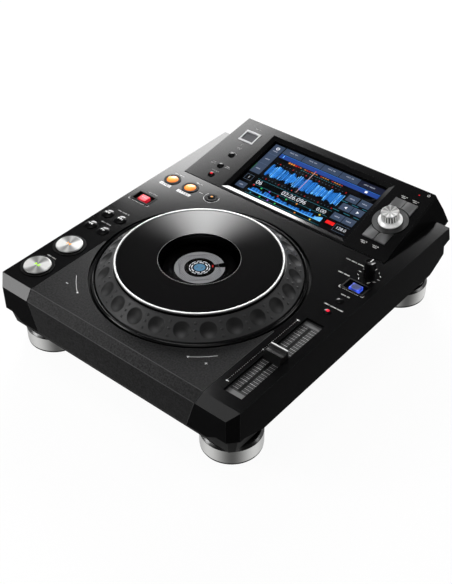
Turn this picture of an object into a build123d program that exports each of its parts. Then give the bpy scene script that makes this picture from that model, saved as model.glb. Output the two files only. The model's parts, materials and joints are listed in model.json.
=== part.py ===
from build123d import *
import os
from collections import namedtuple
from math import asin, cos, hypot, radians, sin, tan

# Disc-less deck with a jog dial, a tilted touch display and panel controls, in millimetres.
# While it is modelled, x runs across from the middle, y from the deck's front edge to the back,
# and z up from the deck's top face. SEAT then moves every piece so that the origin lies on the
# table, below the middle of the footprint.

# Deck shell
WELL_R = 111.1            # round well that the jog dial sits in
STRIP_W = 42.15           # flat strip on either side of the well
FRONT_MARGIN = 12.9       # well edge to the deck's front edge
DISPLAY_STRIP = 17.9      # well edge to the display's front edge
DECK_T = 3.0              # deck plate
WALL = 3.0                # side, front and back walls
CHAMFER_RUN = 9.35        # front chamfer, towards the user
CHAMFER_DROP = 8.85       # front chamfer, downwards
FACET = 8.75              # flat that cuts each front corner
SKIRT = 46.0              # depth of the side walls
CORNER_DEPTH = 36.0       # depth of the front wall at its corners
LIP_DEPTH = 43.0          # depth of the front wall's middle
LIP_INSET = 31.25         # that deeper middle ends this far in from the case's side
LIP_RAMP = 11.0           # slope at each end of it
SKIRT_RAMP = (6.0, 34.0)  # where the side wall's lower edge slopes down, from the front edge
REAR_LEAN = 5.3           # back wall leans out by this much
REAR_DROP = 18.0          # down to this depth
REAR_TUCK = 5.6           # then tucks in under itself, past the deck's back edge
REAR_LIP = 3.0            # and drops this much more
SKIRT_STEPS = ((4.0, 32.0), (12.9, 37.7), (28.6, 46.0))  # back end of the side walls: inset, depth

# Textured apron in front of the well
APRON_T = 1.2             # skin let into the deck
APRON_TIP = 22.0          # its horns stop this far in front of the jog centre
APRON_TUCK = 0.2          # its seams at the deck's front edge, in from the well's sides
APRON_TAPER = 0.29        # its front seams lean in by this much per millimetre of depth
SEAM = 0.4                # groove along its edges

# Lower case and feet
TUB_DEPTH = 57.0          # underside of the lower case
TUB_T = 2.5               # its floor and walls
TUB_INSET = 8.0           # its floor is this much inside the deck's outline
TUB_FIT = 0.4             # its rim is this much inside the deck's walls
TUB_RIM = 24.0            # depth of the rim's top
FOOT_R = 30.5             # turned foot ring
FOOT_H = 26.0             # underside of the lower case above the table
FOOT_INSET = 34.75        # foot centres, in from the case's sides
FOOT_FRONT = 30.2         # front feet, from the deck's front edge
FOOT_BACK = 31.6          # back feet, from the deck's back edge
FOOT_RING_H = 15.4        # straight height of the ring
FOOT_BEVEL = 2.5          # bevel on the ring's top
FOOT_WALL = 4.5           # ring wall
FOOT_WEB = 4.0            # web that the foot's screw goes through
FOOT_NECK_R = 21.0        # neck on the lower case
FOOT_NECK_H = 11.0        # and its length
PAD_T = 2.0               # rubber pad
BOSS_R = 3.5              # screw pillars between the deck and the floor
SCREW_R = 1.4             # case screw
SCREW_HEAD_R = 3.0
SCREW_HEAD_T = 2.0
SCREW_REACH = 16.0        # length of thread in a pillar
FOOT_SCREW_R = 1.8
FOOT_SCREW_HEAD_R = 4.2
FOOT_SCREW_HEAD_T = 3.0
SCREW_FIT = 0.1           # screw to its hole
PILLAR_INSET = 15.25      # outer pillars, in from the case's sides
PILLAR_FRONT = 7.5        # first pair, from the deck's front edge
PILLAR_BACK = 13.8        # last pair, from the deck's back edge
PILLAR_DISPLAY = 7.0      # middle pair, in front of the display
INNER_PILLAR = (16.1, 12.0)  # inner pair: in from the well's sides, from the front edge

# Jog dial
WELL_GROOVE = 2.5         # shadow groove round the guard ring
GUARD_W = 3.7             # guard ring width
GUARD_RISE = 0.9          # its height above the deck
GUARD_SEAT = 4.5          # depth of its seat
JOG_GAP = 1.2             # guard ring to the dial
JOG_EDGE_Z = 0.6          # top of the dial's outer edge
JOG_LOW_Z = -3.5          # underside of the dimpled ring
CONE_RUN = 17.4           # dimpled slope, inwards
CONE_TOP_Z = 14.5         # and its upper edge
DIMPLE_COUNT = 24
DIMPLE_R = 8.6            # finger dimples
DIMPLE_DEPTH = 2.2
DIMPLE_TURN = 0.9         # turn of the first dimple, in degrees
PLATTER_GAP = 1.5         # cone edge to the platter
PLATTER_TOP_Z = 18.3
PLATTER_T = 2.5
TRIM_W = 2.8              # bright ring on the platter's edge
TRIM_RISE = 0.6           # it stands this much over the platter
TRIM_T = 1.9
WINDOW_R = 40.8           # clear window in the platter
WINDOW_T = 1.4
WINDOW_LAND = 1.9         # shoulder that the window lies on
WINDOW_FIT = 0.2
TUBE_WALL = 2.2           # tube below the window
TUBE_LOW_Z = 8.0
HUB_T = 2.5               # plate that carries the ring and platter
JOURNAL_R = 46.0          # fixed bearing sleeve
JOURNAL_WALL = 4.0
JOURNAL_FIT = 0.05        # radial running clearance
HUB_WALL = 4.0
THRUST_T = 0.9            # thrust flange under the hub
JOG_FLOOR_Z = -21.0       # floor of the jog's tray
JOG_FLOOR_T = 3.0
JOG_FLANGE = 3.4          # tray flange under the deck
JOG_TRAY_WALL = 3.0
DISPLAY_DISC_R = 36.5     # fixed display disc below the window
DISPLAY_DISC_Z = 6.5
DISPLAY_DISC_T = 1.5
DISPLAY_POST_R = 30.0

# Display hood and its panel
PANEL_TILT = 12.1         # degrees
PANEL_LEN = 109.0         # along the slope
PANEL_Z = 0.6             # its front edge stands this much over the deck
PANEL_T = 3.4
HOOD_INSET = 19.3         # hood's side at the deck, in from the case's side
HOOD_LEAN = 0.337         # its sides lean in by this much per millimetre of height
HOOD_GAP = 0.7            # shadow gap between the hood and the deck
HOOD_WALL = 3.0
HOOD_OVERHANG = 11.978    # panel's top edge, past the deck's back edge
HOOD_BACK = ((9.4, 3.05), (14.4, -12.95), (8.4, -14.55))  # out past the panel's top edge, height
HOOD_REST = 4.0           # strip of deck behind the hood's opening
LEDGE_W = 7.5             # ledge under the hood's sides
LEDGE_T = 3.0
SCREEN_INSET = 57.45      # clear screen, in from the hood's sides
SCREEN_LOW = 8.0          # its lower edge, up the slope
SCREEN_TOP = 15.0         # its upper edge, down from the panel's top
BEVEL_W = 5.2             # sloped frame round the screen
BEVEL_DROP = 1.9          # and its depth, above a straight edge at the glass
GLASS_T = 1.6
GLASS_MARGIN = 4.0        # glass behind the panel
LCD_T = 6.5

# Push buttons
Spec = namedtuple("Spec", "cap_r rise travel")
BIG = Spec(14.4, 2.4, 1.2)
DOME = Spec(6.7, 2.6, 1.0)
LOOP = Spec(6.6, 1.8, 1.0)
SMALL = Spec(3.9, 1.6, 0.8)
CLEAR = 0.3               # caps to their holes, and other moving gaps
FLANGE_W = 0.8            # retaining flange under a cap
FLANGE_T = 1.2
STEM_R = 2.0
SWITCH_W = 6.0            # switch below each cap
SWITCH_BODY_H = 3.6
SWITCH_H = 5.0
SWITCH_TIP_R = 1.7
BOARD_T = 1.6
BOARD_DEPTH = 15.0        # board below the deck
PANEL_BOARD_DEPTH = 13.0  # boards below the panel
POST_R = 2.3              # posts that the boards hang on
BEZEL_FIT = 0.15          # bezels to their holes
BEZEL_WALL = 1.3          # bezel sleeve
BEZEL_RIM = 1.4           # bezel rim over its hole
BEZEL_RISE = 0.9

# Control places: columns run up the middle of each strip
COLUMN_INSET = 20.25      # column, in from the case's side
PLAY_Y = 28.6
CUE_Y = 72.7
SEARCH_SHARE = 0.25       # search, track and direction rows, between the cue and loop rows
TRACK_SHARE = 0.412
DIRECTION_SHARE = 0.7055
PAIR_HALF = 9.0           # half the spacing of the search and track pairs
LOOP_ROW = 21.8           # loop row, in front of the display
LOOP_STEP = 26.2
RELOOP_STEP = 57.0
MASTER_SHARE = 0.16       # right column, between the slider's recess and the display
RANGE_SHARE = 0.3385
MODE_SHARE = 0.5743
SPEED_SHARE = 0.7755
TRAY = (24.4, 15.6)       # recessed trays of the direction and mode buttons
TRAY_DEPTH = 3.2
TRAY_FLOOR = 1.3
TRAY_WALL = 1.2
TRAY_CAP = (11.0, 9.0)
TRAY_CAP_RISE = 0.4
TRAY_CAP_TRAVEL = 1.0

# Tempo slider
TEMPO_Y = 75.5            # middle of its travel
TEMPO_TRAVEL = 100.0
TEMPO_RECESS = (20.6, 123.4)
TEMPO_PLATE_T = 1.5
TEMPO_MARGIN = 1.4        # plate behind the deck's edge
TEMPO_LEVER = (2.4, 4.0)
TEMPO_BLOCK = (4.6, 10.0, 6.5)
TEMPO_POT_H = 12.0
TEMPO_POT_WALL = 5.0
TEMPO_CAP = (19.2, 14.0)
TEMPO_CAP_RISE = 8.5
TEMPO_SADDLE = 3.0
TEMPO_LIFT = 0.6          # cap above the plate
TEMPO_GRIP = 5.0          # lever inside the cap

# Turning knobs
SPEED_R = 5.8
SPEED_TOP_R = 5.2
SPEED_RISE = 17.5
SHAFT_R = 3.0
SHAFT_FIT = 0.05
SPEED_SHAFT = 12.0        # shaft below the deck
POT_W = 12.0
BUSH_R = 4.6
BUSH_H = 4.5
SELECTOR_R = 12.9
SELECTOR_TOP_R = 10.2
SELECTOR_RISE = 14.0
SELECTOR_TRAVEL = 0.8
SELECTOR_RING_R = 19.4
SELECTOR_RING_T = 0.8
SELECTOR_LOW = 2.0        # below the middle of the panel
SELECTOR_INSET = 27.4     # in from the hood's side
ENCODER_W = 14.0
ROTOR_WALL = 1.2
STEM_HEX = 2.2            # hexagonal stem, centre to corner
STEM_FIT = 0.1

# Panel buttons
BROWSE_CELL = (13.1, 17.6)
BROWSE_SPLIT = 1.0        # between two neighbours
BROWSE_SPAN = 32.0        # outer edge of the cells from the selector's centre
BROWSE_RISE = 1.2
BROWSE_TRAVEL = 0.8
SIDE_INSET = 30.2         # small buttons, in from the hood's left side
USB_STOP_S = 47.6
TIME_S = 27.3
QUANTIZE_S = 10.9

# USB port and its flap
USB_INSET = 29.5          # in from the hood's left side
USB_TOP = 26.8            # down from the panel's top
USB_FRAME = (20.2, 18.5)
USB_OPEN = (16.8, 13.6)
USB_RISE = 0.8
USB_SHELL = 1.2           # pocket wall below the rim
USB_POCKET = 4.5
FLAP_T = 1.6
FLAP_PIN_R = 0.6
FLAP_PIN_L = 0.9
FLAP_PIN_FIT = 0.05
USB_PLUG = (12.5, 5.1)
USB_METAL = 0.4
USB_DEEP = 11.5
USB_TONGUE = (11.1, 1.8)
USB_COLLAR = 2.0

# Rear sockets
JACK_IN = 5.6             # jack plate's face, in from the deck's back edge
JACK_T = 1.5
JACK_INSET = 17.25        # its ends, in from the case's sides
JACK_TOP = 21.6
JACK_LOW = 52.0
JACK_FRAME = 6.0          # lower case round the jack plate's window
JACK_Z = 37.0             # depth of the sockets' row
JACK_FIT = 0.2
AC_IN = 58.0              # in from the jack plate's right end
AC_FLANGE = (24.0, 16.0, 1.6)
AC_BODY = (19.0, 12.4, 18.0)
AC_MOUTH = (15.0, 8.0, 13.0)
AC_PIN_R = 1.2
AC_PIN_SPACING = 8.6
RCA_IN = (44.0, 62.0, 80.0)  # in from its left end
RCA_R = 4.15
RCA_LEN = 9.0
RCA_BASE_R = 5.6
RCA_BASE_T = 1.5
RCA_BORE_R = 1.6
RCA_BODY = (11.0, 14.0, 11.0)
LAN_X = -12.0
LAN_SHELL = (16.0, 13.4, 16.0)
LAN_MOUTH = (11.8, 8.2, 11.0)
USB_B_X = 20.0
USB_B_SHELL = (12.0, 11.0, 15.0)
USB_B_MOUTH = (8.5, 7.8, 9.5)
USB_B_TONGUE = (5.6, 3.2)
NOSE = 0.8                # sockets stand this much out of the jack plate
POWER_IN = 20.0           # in from its right end
POWER_R = 5.5
POWER_RISE = 3.2
POWER_TRAVEL = 2.0
POWER_SWITCH = (14.0, 14.0, 12.0)
LOCK_IN = 18.0            # in from its left end
LOCK_SLOT = (7.0, 3.2)

# Boards inside
MAIN_LEN = 120.0          # main board, front to back
MAIN_INSET = 34.25        # its left end, in from the case's side
SUPPLY = (74.0, 92.0)
SUPPLY_INSET = 69.25      # its middle, in from the case's right side
BOARD_GAP = 8.0           # between the two boards
BOARD_IN = 88.5           # middle of both boards, in from the jack plate
STANDOFF_H = 5.0
STANDOFF_R = 3.0
STANDOFF_IN = 6.0         # standoffs, in from a board's corners
CHIP_H = 3.0

# Sizes that follow
CASE_W = 2 * (WELL_R + STRIP_W)
HALF_W = CASE_W / 2
JOG_Y = WELL_R + FRONT_MARGIN
TILT = radians(PANEL_TILT)
DISPLAY_Y = JOG_Y + WELL_R + DISPLAY_STRIP
HOOD_TOP_Y = DISPLAY_Y + PANEL_LEN * cos(TILT)
HOOD_TOP_Z = PANEL_Z + PANEL_LEN * sin(TILT)
DECK_D = HOOD_TOP_Y - HOOD_OVERHANG
DECK_H = TUB_DEPTH + FOOT_H
LIP_HALF = HALF_W - LIP_INSET
APRON_HALF = WELL_R - APRON_TUCK
FOOT_X = HALF_W - FOOT_INSET
COLUMN_X = HALF_W - COLUMN_INSET
LOOP_Y = DISPLAY_Y - LOOP_ROW
SEARCH_Y = CUE_Y + SEARCH_SHARE * (LOOP_Y - CUE_Y)
TRACK_Y = CUE_Y + TRACK_SHARE * (LOOP_Y - CUE_Y)
DIRECTION_Y = CUE_Y + DIRECTION_SHARE * (LOOP_Y - CUE_Y)
TEMPO_END = TEMPO_Y + TEMPO_RECESS[1] / 2
MASTER_Y = TEMPO_END + MASTER_SHARE * (DISPLAY_Y - TEMPO_END)
RANGE_Y = TEMPO_END + RANGE_SHARE * (DISPLAY_Y - TEMPO_END)
MODE_Y = TEMPO_END + MODE_SHARE * (DISPLAY_Y - TEMPO_END)
SPEED_Y = TEMPO_END + SPEED_SHARE * (DISPLAY_Y - TEMPO_END)
FLOOR_Z = -TUB_DEPTH + TUB_T
JACK_Y = DECK_D - JACK_IN
TUB_BACK = JACK_Y - JACK_T
JACK_HALF = HALF_W - JACK_INSET
AC_X = JACK_HALF - AC_IN
RCA_X = [along - JACK_HALF for along in RCA_IN]
POWER_X = JACK_HALF - POWER_IN
LOCK_X = LOCK_IN - JACK_HALF
BOARD_Y = TUB_BACK - BOARD_IN
SUPPLY_X = HALF_W - SUPPLY_INSET
MAIN_LEFT = MAIN_INSET - HALF_W
MAIN_RIGHT = SUPPLY_X - SUPPLY[0] / 2 - BOARD_GAP
MAIN_BOARD = (MAIN_RIGHT - MAIN_LEFT, MAIN_LEN)
MAIN_X = (MAIN_LEFT + MAIN_RIGHT) / 2
FOOT_YS = (FOOT_FRONT, DECK_D - FOOT_BACK)
GUARD_R = WELL_R - WELL_GROOVE
JOG_R = GUARD_R - GUARD_W - JOG_GAP
CONE_TOP_R = JOG_R - CONE_RUN
PLATTER_R = CONE_TOP_R - PLATTER_GAP
HUB_LOW_Z = JOG_FLOOR_Z + THRUST_T + CLEAR
HOOD_HALF = HALF_W - HOOD_INSET
SCREEN_HALF = HOOD_HALF - SCREEN_INSET
SCREEN_HIGH = PANEL_LEN - SCREEN_TOP
PANEL = Plane(origin=(0, DISPLAY_Y, PANEL_Z), x_dir=(1, 0, 0), z_dir=(0, -sin(TILT), cos(TILT)))
SELECTOR_X = HOOD_HALF - SELECTOR_INSET
SELECTOR_S = PANEL_LEN / 2 - SELECTOR_LOW
SIDE_X = SIDE_INSET - HOOD_HALF
USB_X = USB_INSET - HOOD_HALF
USB_S = PANEL_LEN - USB_TOP
TEMPO_X = COLUMN_X
DEPTH_BACK = HOOD_TOP_Y + HOOD_BACK[1][0]
SEAT = Pos(0, (CHAMFER_RUN - DEPTH_BACK) / 2, DECK_H)

CORNER = (Align.MIN, Align.MIN, Align.MIN)
BASE = (Align.CENTER, Align.CENTER, Align.MIN)
FAR = 500.0               # longer than the whole deck, for cutting
OVER = 1.0                # cutters reach this far past a face


# Plain shapes

def slab(x0, x1, y0, y1, z0, z1):
    """Block between two corners."""
    return Pos(x0, y0, z0) * Box(x1 - x0, y1 - y0, z1 - z0, align=CORNER)


def block(size, z0, z1, x=0, y=0):
    """Block of a given width and length, centred on x and y."""
    return Pos(x, y, z0) * Box(size[0], size[1], z1 - z0, align=BASE)


def disc(r, z0, z1, x=0, y=0):
    """Upright cylinder."""
    return Pos(x, y, z0) * Cylinder(r, z1 - z0, align=BASE)


def hoop(r_out, r_in, z0, z1, x=0, y=0):
    """Upright tube."""
    return disc(r_out, z0, z1, x, y) - disc(r_in, z0 - OVER, z1 + OVER, x, y)


def side_prism(points, x0, x1):
    """Prism along x from (y, z) points."""
    outline = Polyline(*[(x0, y, z) for y, z in points], close=True)
    return extrude(make_face(outline), x1 - x0, dir=(1, 0, 0))


def front_prism(points, y0, y1):
    """Prism along y from (x, z) points."""
    outline = Polyline(*[(x, y0, z) for x, z in points], close=True)
    return extrude(make_face(outline), y1 - y0, dir=(0, 1, 0))


def plan_face(points, z):
    """Flat face from (x, y) points at a height."""
    return make_face(Polyline(*[(x, y, z) for x, y in points], close=True))


def turned(points):
    """Solid of revolution about z from (r, z) points."""
    return revolve(make_face(Polyline(*[(r, 0, z) for r, z in points], close=True)), Axis.Z)


def domed(r, z0, z_edge, z_top):
    """Round cap with a ball-shaped top."""
    rise = z_top - z_edge
    ball = (r * r + rise * rise) / (2 * rise)
    half = asin(min(1.0, r / ball)) / 2
    middle = (ball * sin(half), 0, z_top - ball + ball * cos(half))
    sides = Polyline((0, 0, z_top), (0, 0, z0), (r, 0, z0), (r, 0, z_edge))
    crown = ThreePointArc((r, 0, z_edge), middle, (0, 0, z_top))
    return revolve(make_face([*sides.edges(), crown]), Axis.Z)


def group(solids):
    """Several solids that share one name."""
    return Compound([solid for shape in solids for solid in shape.solids()])


# Case

def plan_points(inset, back):
    """Case outline seen from above, moved inwards, with the front corners cut."""
    slant = hypot(CHAMFER_RUN, FACET)
    side = HALF_W - inset
    corner_y = inset * (slant - CHAMFER_RUN) / FACET
    corner_x = HALF_W - FACET - inset * (slant - FACET) / CHAMFER_RUN
    front = inset - CHAMFER_RUN
    right = [(corner_x, front), (side, corner_y), (side, back)]
    left = [(-x, y) for x, y in reversed(right)]
    return right + left


def deck_profile():
    """Side wall of the deck, as (y, z)."""
    ramp_y, full_y = SKIRT_RAMP
    steps = [(DECK_D - inset, -depth) for inset, depth in SKIRT_STEPS]
    back = [(DECK_D, 0), (DECK_D + REAR_LEAN, -REAR_DROP), (DECK_D - REAR_TUCK, -REAR_DROP - REAR_LIP)]
    front = [(-CHAMFER_RUN, -CORNER_DEPTH), (-CHAMFER_RUN, -CHAMFER_DROP), (0, 0)]
    return front + back + steps + [(full_y, -SKIRT), (ramp_y, -CORNER_DEPTH)]


def deck_hollow():
    """Space inside the deck's walls."""
    turn = WALL * tan(radians(22.5))
    roof = [(-CHAMFER_RUN + WALL, -CHAMFER_DROP - turn), (turn, -DECK_T), (DECK_D - WALL, -DECK_T)]
    back = [(DECK_D + REAR_LEAN - WALL, WALL - REAR_DROP), (DECK_D - REAR_TUCK, WALL - REAR_DROP - REAR_LIP)]
    low = -SKIRT - WALL
    points = [(-CHAMFER_RUN + WALL, low)] + roof + back + [(DECK_D - REAR_TUCK, low)]
    inside = side_prism(points, WALL - HALF_W, HALF_W - WALL)
    plan = extrude(plan_face(plan_points(WALL, FAR), low - OVER), SKIRT + 2 * WALL)
    behind = slab(WALL - HALF_W, HALF_W - WALL, DECK_D - FOOT_BACK, FAR, low, -REAR_DROP - REAR_LIP)
    return (inside & plan) + behind


def apron_skin(margin):
    """Apron's skin over the deck's front edge; a margin widens it to the groove in the deck."""
    turn = APRON_T * tan(radians(22.5))
    tip = JOG_Y - APRON_TIP + margin
    outer = [(tip, 0), (0, 0), (-CHAMFER_RUN, -CHAMFER_DROP), (-CHAMFER_RUN, -LIP_DEPTH)]
    inner = [(APRON_T - CHAMFER_RUN, -LIP_DEPTH), (APRON_T - CHAMFER_RUN, -CHAMFER_DROP - turn)]
    skin = side_prism(outer + inner + [(turn, -APRON_T), (tip, -APRON_T)], -HALF_W, HALF_W)
    top = APRON_HALF + margin
    low = top - APRON_TAPER * LIP_DEPTH
    seams = [(-top, 0), (top, 0), (top, -APRON_T), (low, -LIP_DEPTH), (-low, -LIP_DEPTH), (-top, -APRON_T)]
    return (skin & front_prism(seams, -FAR, FAR)) - disc(WELL_R, -DECK_T, DECK_T, 0, JOG_Y)


def pillar_places():
    """Screw pillars between the deck and the lower case."""
    outer_ys = (PILLAR_FRONT, DISPLAY_Y - PILLAR_DISPLAY, DECK_D - PILLAR_BACK)
    outer = [(side * (HALF_W - PILLAR_INSET), y) for side in (-1, 1) for y in outer_ys]
    return outer + [(side * (WELL_R - INNER_PILLAR[0]), INNER_PILLAR[1]) for side in (-1, 1)]


def hood_opening():
    """Hole in the deck below the display hood."""
    half = HOOD_HALF + HOOD_GAP
    return slab(-half, half, DISPLAY_Y - HOOD_GAP, DECK_D - HOOD_REST, -FAR, FAR)


def hood_ledges():
    """Ledges under the deck that carry the hood's sides."""
    half = HOOD_HALF + HOOD_GAP
    y0, y1 = DISPLAY_Y - HOOD_GAP - LEDGE_T, DECK_D - HOOD_REST / 2
    return [slab(*sorted((side * (half - LEDGE_W), side * (half + LEDGE_T))), y0, y1, -DECK_T - LEDGE_T, -DECK_T)
            for side in (-1, 1)]


def top_deck():
    """Upper shell with the well, the slider's recess and every button hole."""
    plan = extrude(plan_face(plan_points(0, FAR), -FAR), 2 * FAR)
    shell = (side_prism(deck_profile(), -HALF_W, HALF_W) & plan) - deck_hollow()
    lip_x = LIP_HALF + LIP_RAMP
    lip = [(-lip_x, -CORNER_DEPTH), (-LIP_HALF, -LIP_DEPTH), (LIP_HALF, -LIP_DEPTH), (lip_x, -CORNER_DEPTH)]
    shell += front_prism(lip, -CHAMFER_RUN, WALL - CHAMFER_RUN)
    shell -= apron_skin(SEAM)
    shell -= disc(WELL_R, -FAR, FAR, 0, JOG_Y) + hood_opening()
    for ledge in hood_ledges():
        shell += ledge
    for x, y in pillar_places():
        shell += disc(BOSS_R, FLOOR_Z, -DECK_T, x, y)
        shell -= disc(SCREW_R + SCREW_FIT, FLOOR_Z - OVER, FLOOR_Z + SCREW_REACH, x, y)
    for x, y in deck_posts():
        shell += disc(POST_R, -BOARD_DEPTH, -DECK_T, x, y)
    for hole in deck_holes():
        shell -= hole
    return shell


def tub_solid(extra, z_low, back):
    """Lower case's outer shape, or its hollow if it is moved inwards by a wall."""
    slope = (TUB_INSET - WALL - TUB_FIT) / (TUB_DEPTH - CORNER_DEPTH)
    rim = WALL + TUB_FIT + extra
    low = rim + slope * (-CORNER_DEPTH - z_low)
    faces = [plan_face(plan_points(low, back), z_low), plan_face(plan_points(rim, back), -CORNER_DEPTH)]
    return loft(faces, ruled=True) + extrude(faces[1], CORNER_DEPTH - TUB_RIM + extra)


def standoffs(size, x):
    """Corners of a board in the lower case."""
    dx, dy = size[0] / 2 - STANDOFF_IN, size[1] / 2 - STANDOFF_IN
    return [(x + i * dx, BOARD_Y + j * dy) for i in (-1, 1) for j in (-1, 1)]


def bottom_case():
    """Lower case with necks for the feet, board standoffs and the jack plate's window."""
    tub = tub_solid(0, -TUB_DEPTH, TUB_BACK) - tub_solid(TUB_T, FLOOR_Z, TUB_BACK - TUB_T)
    half = JACK_HALF - JACK_FRAME
    tub -= slab(-half, half, TUB_BACK - 2 * TUB_T, FAR, JACK_FRAME - JACK_LOW, -JACK_TOP)
    for x in (-FOOT_X, FOOT_X):
        for y in FOOT_YS:
            neck_z = -TUB_DEPTH - FOOT_NECK_H
            tub += disc(FOOT_NECK_R, neck_z, -TUB_DEPTH, x, y)
            tub -= disc(FOOT_SCREW_R + SCREW_FIT, neck_z - OVER, -TUB_DEPTH, x, y)
    for x, y in standoffs(MAIN_BOARD, MAIN_X) + standoffs(SUPPLY, SUPPLY_X):
        tub += disc(STANDOFF_R, FLOOR_Z, FLOOR_Z + STANDOFF_H, x, y)
    for x, y in pillar_places():
        tub -= disc(SCREW_R + SCREW_FIT, -FAR, FAR, x, y)
    return tub


def foot_places():
    """Centres of the four feet."""
    return [(x, y) for x in (-FOOT_X, FOOT_X) for y in FOOT_YS]


def foot_rings():
    """Turned metal rings with a web that the screw clamps to the neck."""
    low = PAD_T - DECK_H
    web = -TUB_DEPTH - FOOT_NECK_H
    inner = FOOT_R - FOOT_WALL
    hole = FOOT_SCREW_R + SCREW_FIT
    top = low + FOOT_RING_H
    wall = [(FOOT_R, low), (FOOT_R, top), (FOOT_R - FOOT_BEVEL, top + FOOT_BEVEL), (inner, top + FOOT_BEVEL)]
    web_points = [(inner, web), (hole, web), (hole, web - FOOT_WEB), (inner, web - FOOT_WEB)]
    ring = turned(wall + web_points + [(inner, low)])
    return group([Pos(x, y, 0) * ring for x, y in foot_places()])


def foot_pads():
    """Rubber pads pressed into the rings from below."""
    low = PAD_T - DECK_H
    inner = FOOT_R - FOOT_WALL - CLEAR
    pad = disc(FOOT_R - CLEAR, -DECK_H, low) + disc(inner, low, low + PAD_T)
    pad -= disc(FOOT_SCREW_HEAD_R + PAD_T, -FAR, FAR)
    return group([Pos(x, y, 0) * pad for x, y in foot_places()])


def case_screws():
    """Screws of the case and of the feet."""
    under = -TUB_DEPTH
    case = disc(SCREW_HEAD_R, under - SCREW_HEAD_T, under) + disc(SCREW_R, under, FLOOR_Z + SCREW_REACH - OVER)
    web = -TUB_DEPTH - FOOT_NECK_H - FOOT_WEB
    foot = disc(FOOT_SCREW_HEAD_R, web - FOOT_SCREW_HEAD_T, web) + disc(FOOT_SCREW_R, web, -TUB_DEPTH - OVER)
    screws = [Pos(x, y, 0) * case for x, y in pillar_places()]
    return group(screws + [Pos(x, y, 0) * foot for x, y in foot_places()])


# Jog dial

def jog_base():
    """Tray that hangs under the deck and carries the guard ring and the bearing."""
    guard_in = JOG_R + JOG_GAP / 2
    wall_in = guard_in + 2 * CLEAR
    wall_out = wall_in + JOG_TRAY_WALL
    flange = WELL_R + JOG_FLANGE
    low = JOG_FLOOR_Z - JOG_FLOOR_T
    seat = GUARD_R + CLEAR
    under = -DECK_T - JOG_TRAY_WALL
    points = [(0, low), (wall_out, low), (wall_out, under), (flange, under), (flange, -DECK_T), (seat, -DECK_T)]
    points += [(seat, -GUARD_SEAT), (guard_in, -GUARD_SEAT), (guard_in, under - CLEAR)]
    points += [(wall_in, under - CLEAR), (wall_in, JOG_FLOOR_Z), (0, JOG_FLOOR_Z)]
    return Pos(0, JOG_Y, 0) * turned(points)


def jog_guard_ring():
    """Rounded fixed ring round the dial."""
    inner = GUARD_R - GUARD_W
    soft = GUARD_W / 3
    points = [(inner, -GUARD_SEAT), (GUARD_R, -GUARD_SEAT), (GUARD_R, GUARD_RISE - soft)]
    points += [(GUARD_R - soft, GUARD_RISE), (inner + soft, GUARD_RISE), (inner, GUARD_RISE - soft)]
    return Pos(0, JOG_Y, 0) * turned(points)


def jog_bearing():
    """Fixed sleeve that the hub turns on, with its thrust flange."""
    inner = JOURNAL_R - JOURNAL_WALL
    flange_z = JOG_FLOOR_Z + THRUST_T
    points = [(inner, JOG_FLOOR_Z), (JOURNAL_R + HUB_WALL, JOG_FLOOR_Z), (JOURNAL_R + HUB_WALL, flange_z)]
    points += [(JOURNAL_R, flange_z), (JOURNAL_R, JOG_LOW_Z - HUB_T), (inner, JOG_LOW_Z - HUB_T)]
    return Pos(0, JOG_Y, 0) * turned(points)


def jog_display():
    """Fixed display disc on its post, seen through the window."""
    post = disc(DISPLAY_POST_R, JOG_FLOOR_Z, DISPLAY_DISC_Z - DISPLAY_DISC_T, 0, JOG_Y)
    return post + disc(DISPLAY_DISC_R, DISPLAY_DISC_Z - DISPLAY_DISC_T, DISPLAY_DISC_Z, 0, JOG_Y)


def jog_hub():
    """Turning plate with the sleeve that rides on the bearing."""
    bore = JOURNAL_R + JOURNAL_FIT
    sleeve = bore + HUB_WALL
    under = JOG_LOW_Z - HUB_T
    rim = JOG_R - GUARD_W
    points = [(bore, HUB_LOW_Z), (sleeve, HUB_LOW_Z), (sleeve, under), (rim, under), (rim, JOG_LOW_Z)]
    return Pos(0, JOG_Y, 0) * turned(points + [(bore, JOG_LOW_Z)])


def jog_ring():
    """Sloped outer ring with finger dimples."""
    inner = PLATTER_R + CLEAR
    points = [(inner, JOG_LOW_Z), (JOG_R, JOG_LOW_Z), (JOG_R, JOG_EDGE_Z), (CONE_TOP_R, CONE_TOP_Z)]
    ring = turned(points + [(inner, CONE_TOP_Z)])
    slope_r, slope_z = JOG_R - CONE_TOP_R, CONE_TOP_Z - JOG_EDGE_Z
    length = hypot(slope_r, slope_z)
    ball = (DIMPLE_R ** 2 + DIMPLE_DEPTH ** 2) / (2 * DIMPLE_DEPTH)
    lift = ball - DIMPLE_DEPTH
    ball_r = (JOG_R + CONE_TOP_R) / 2 + lift * slope_z / length
    ball_z = (JOG_EDGE_Z + CONE_TOP_Z) / 2 + lift * slope_r / length
    for k in range(DIMPLE_COUNT):
        ring -= Rot(0, 0, DIMPLE_TURN + 360 * k / DIMPLE_COUNT) * Pos(ball_r, 0, ball_z) * Sphere(ball)
    return Pos(0, JOG_Y, 0) * ring


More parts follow.
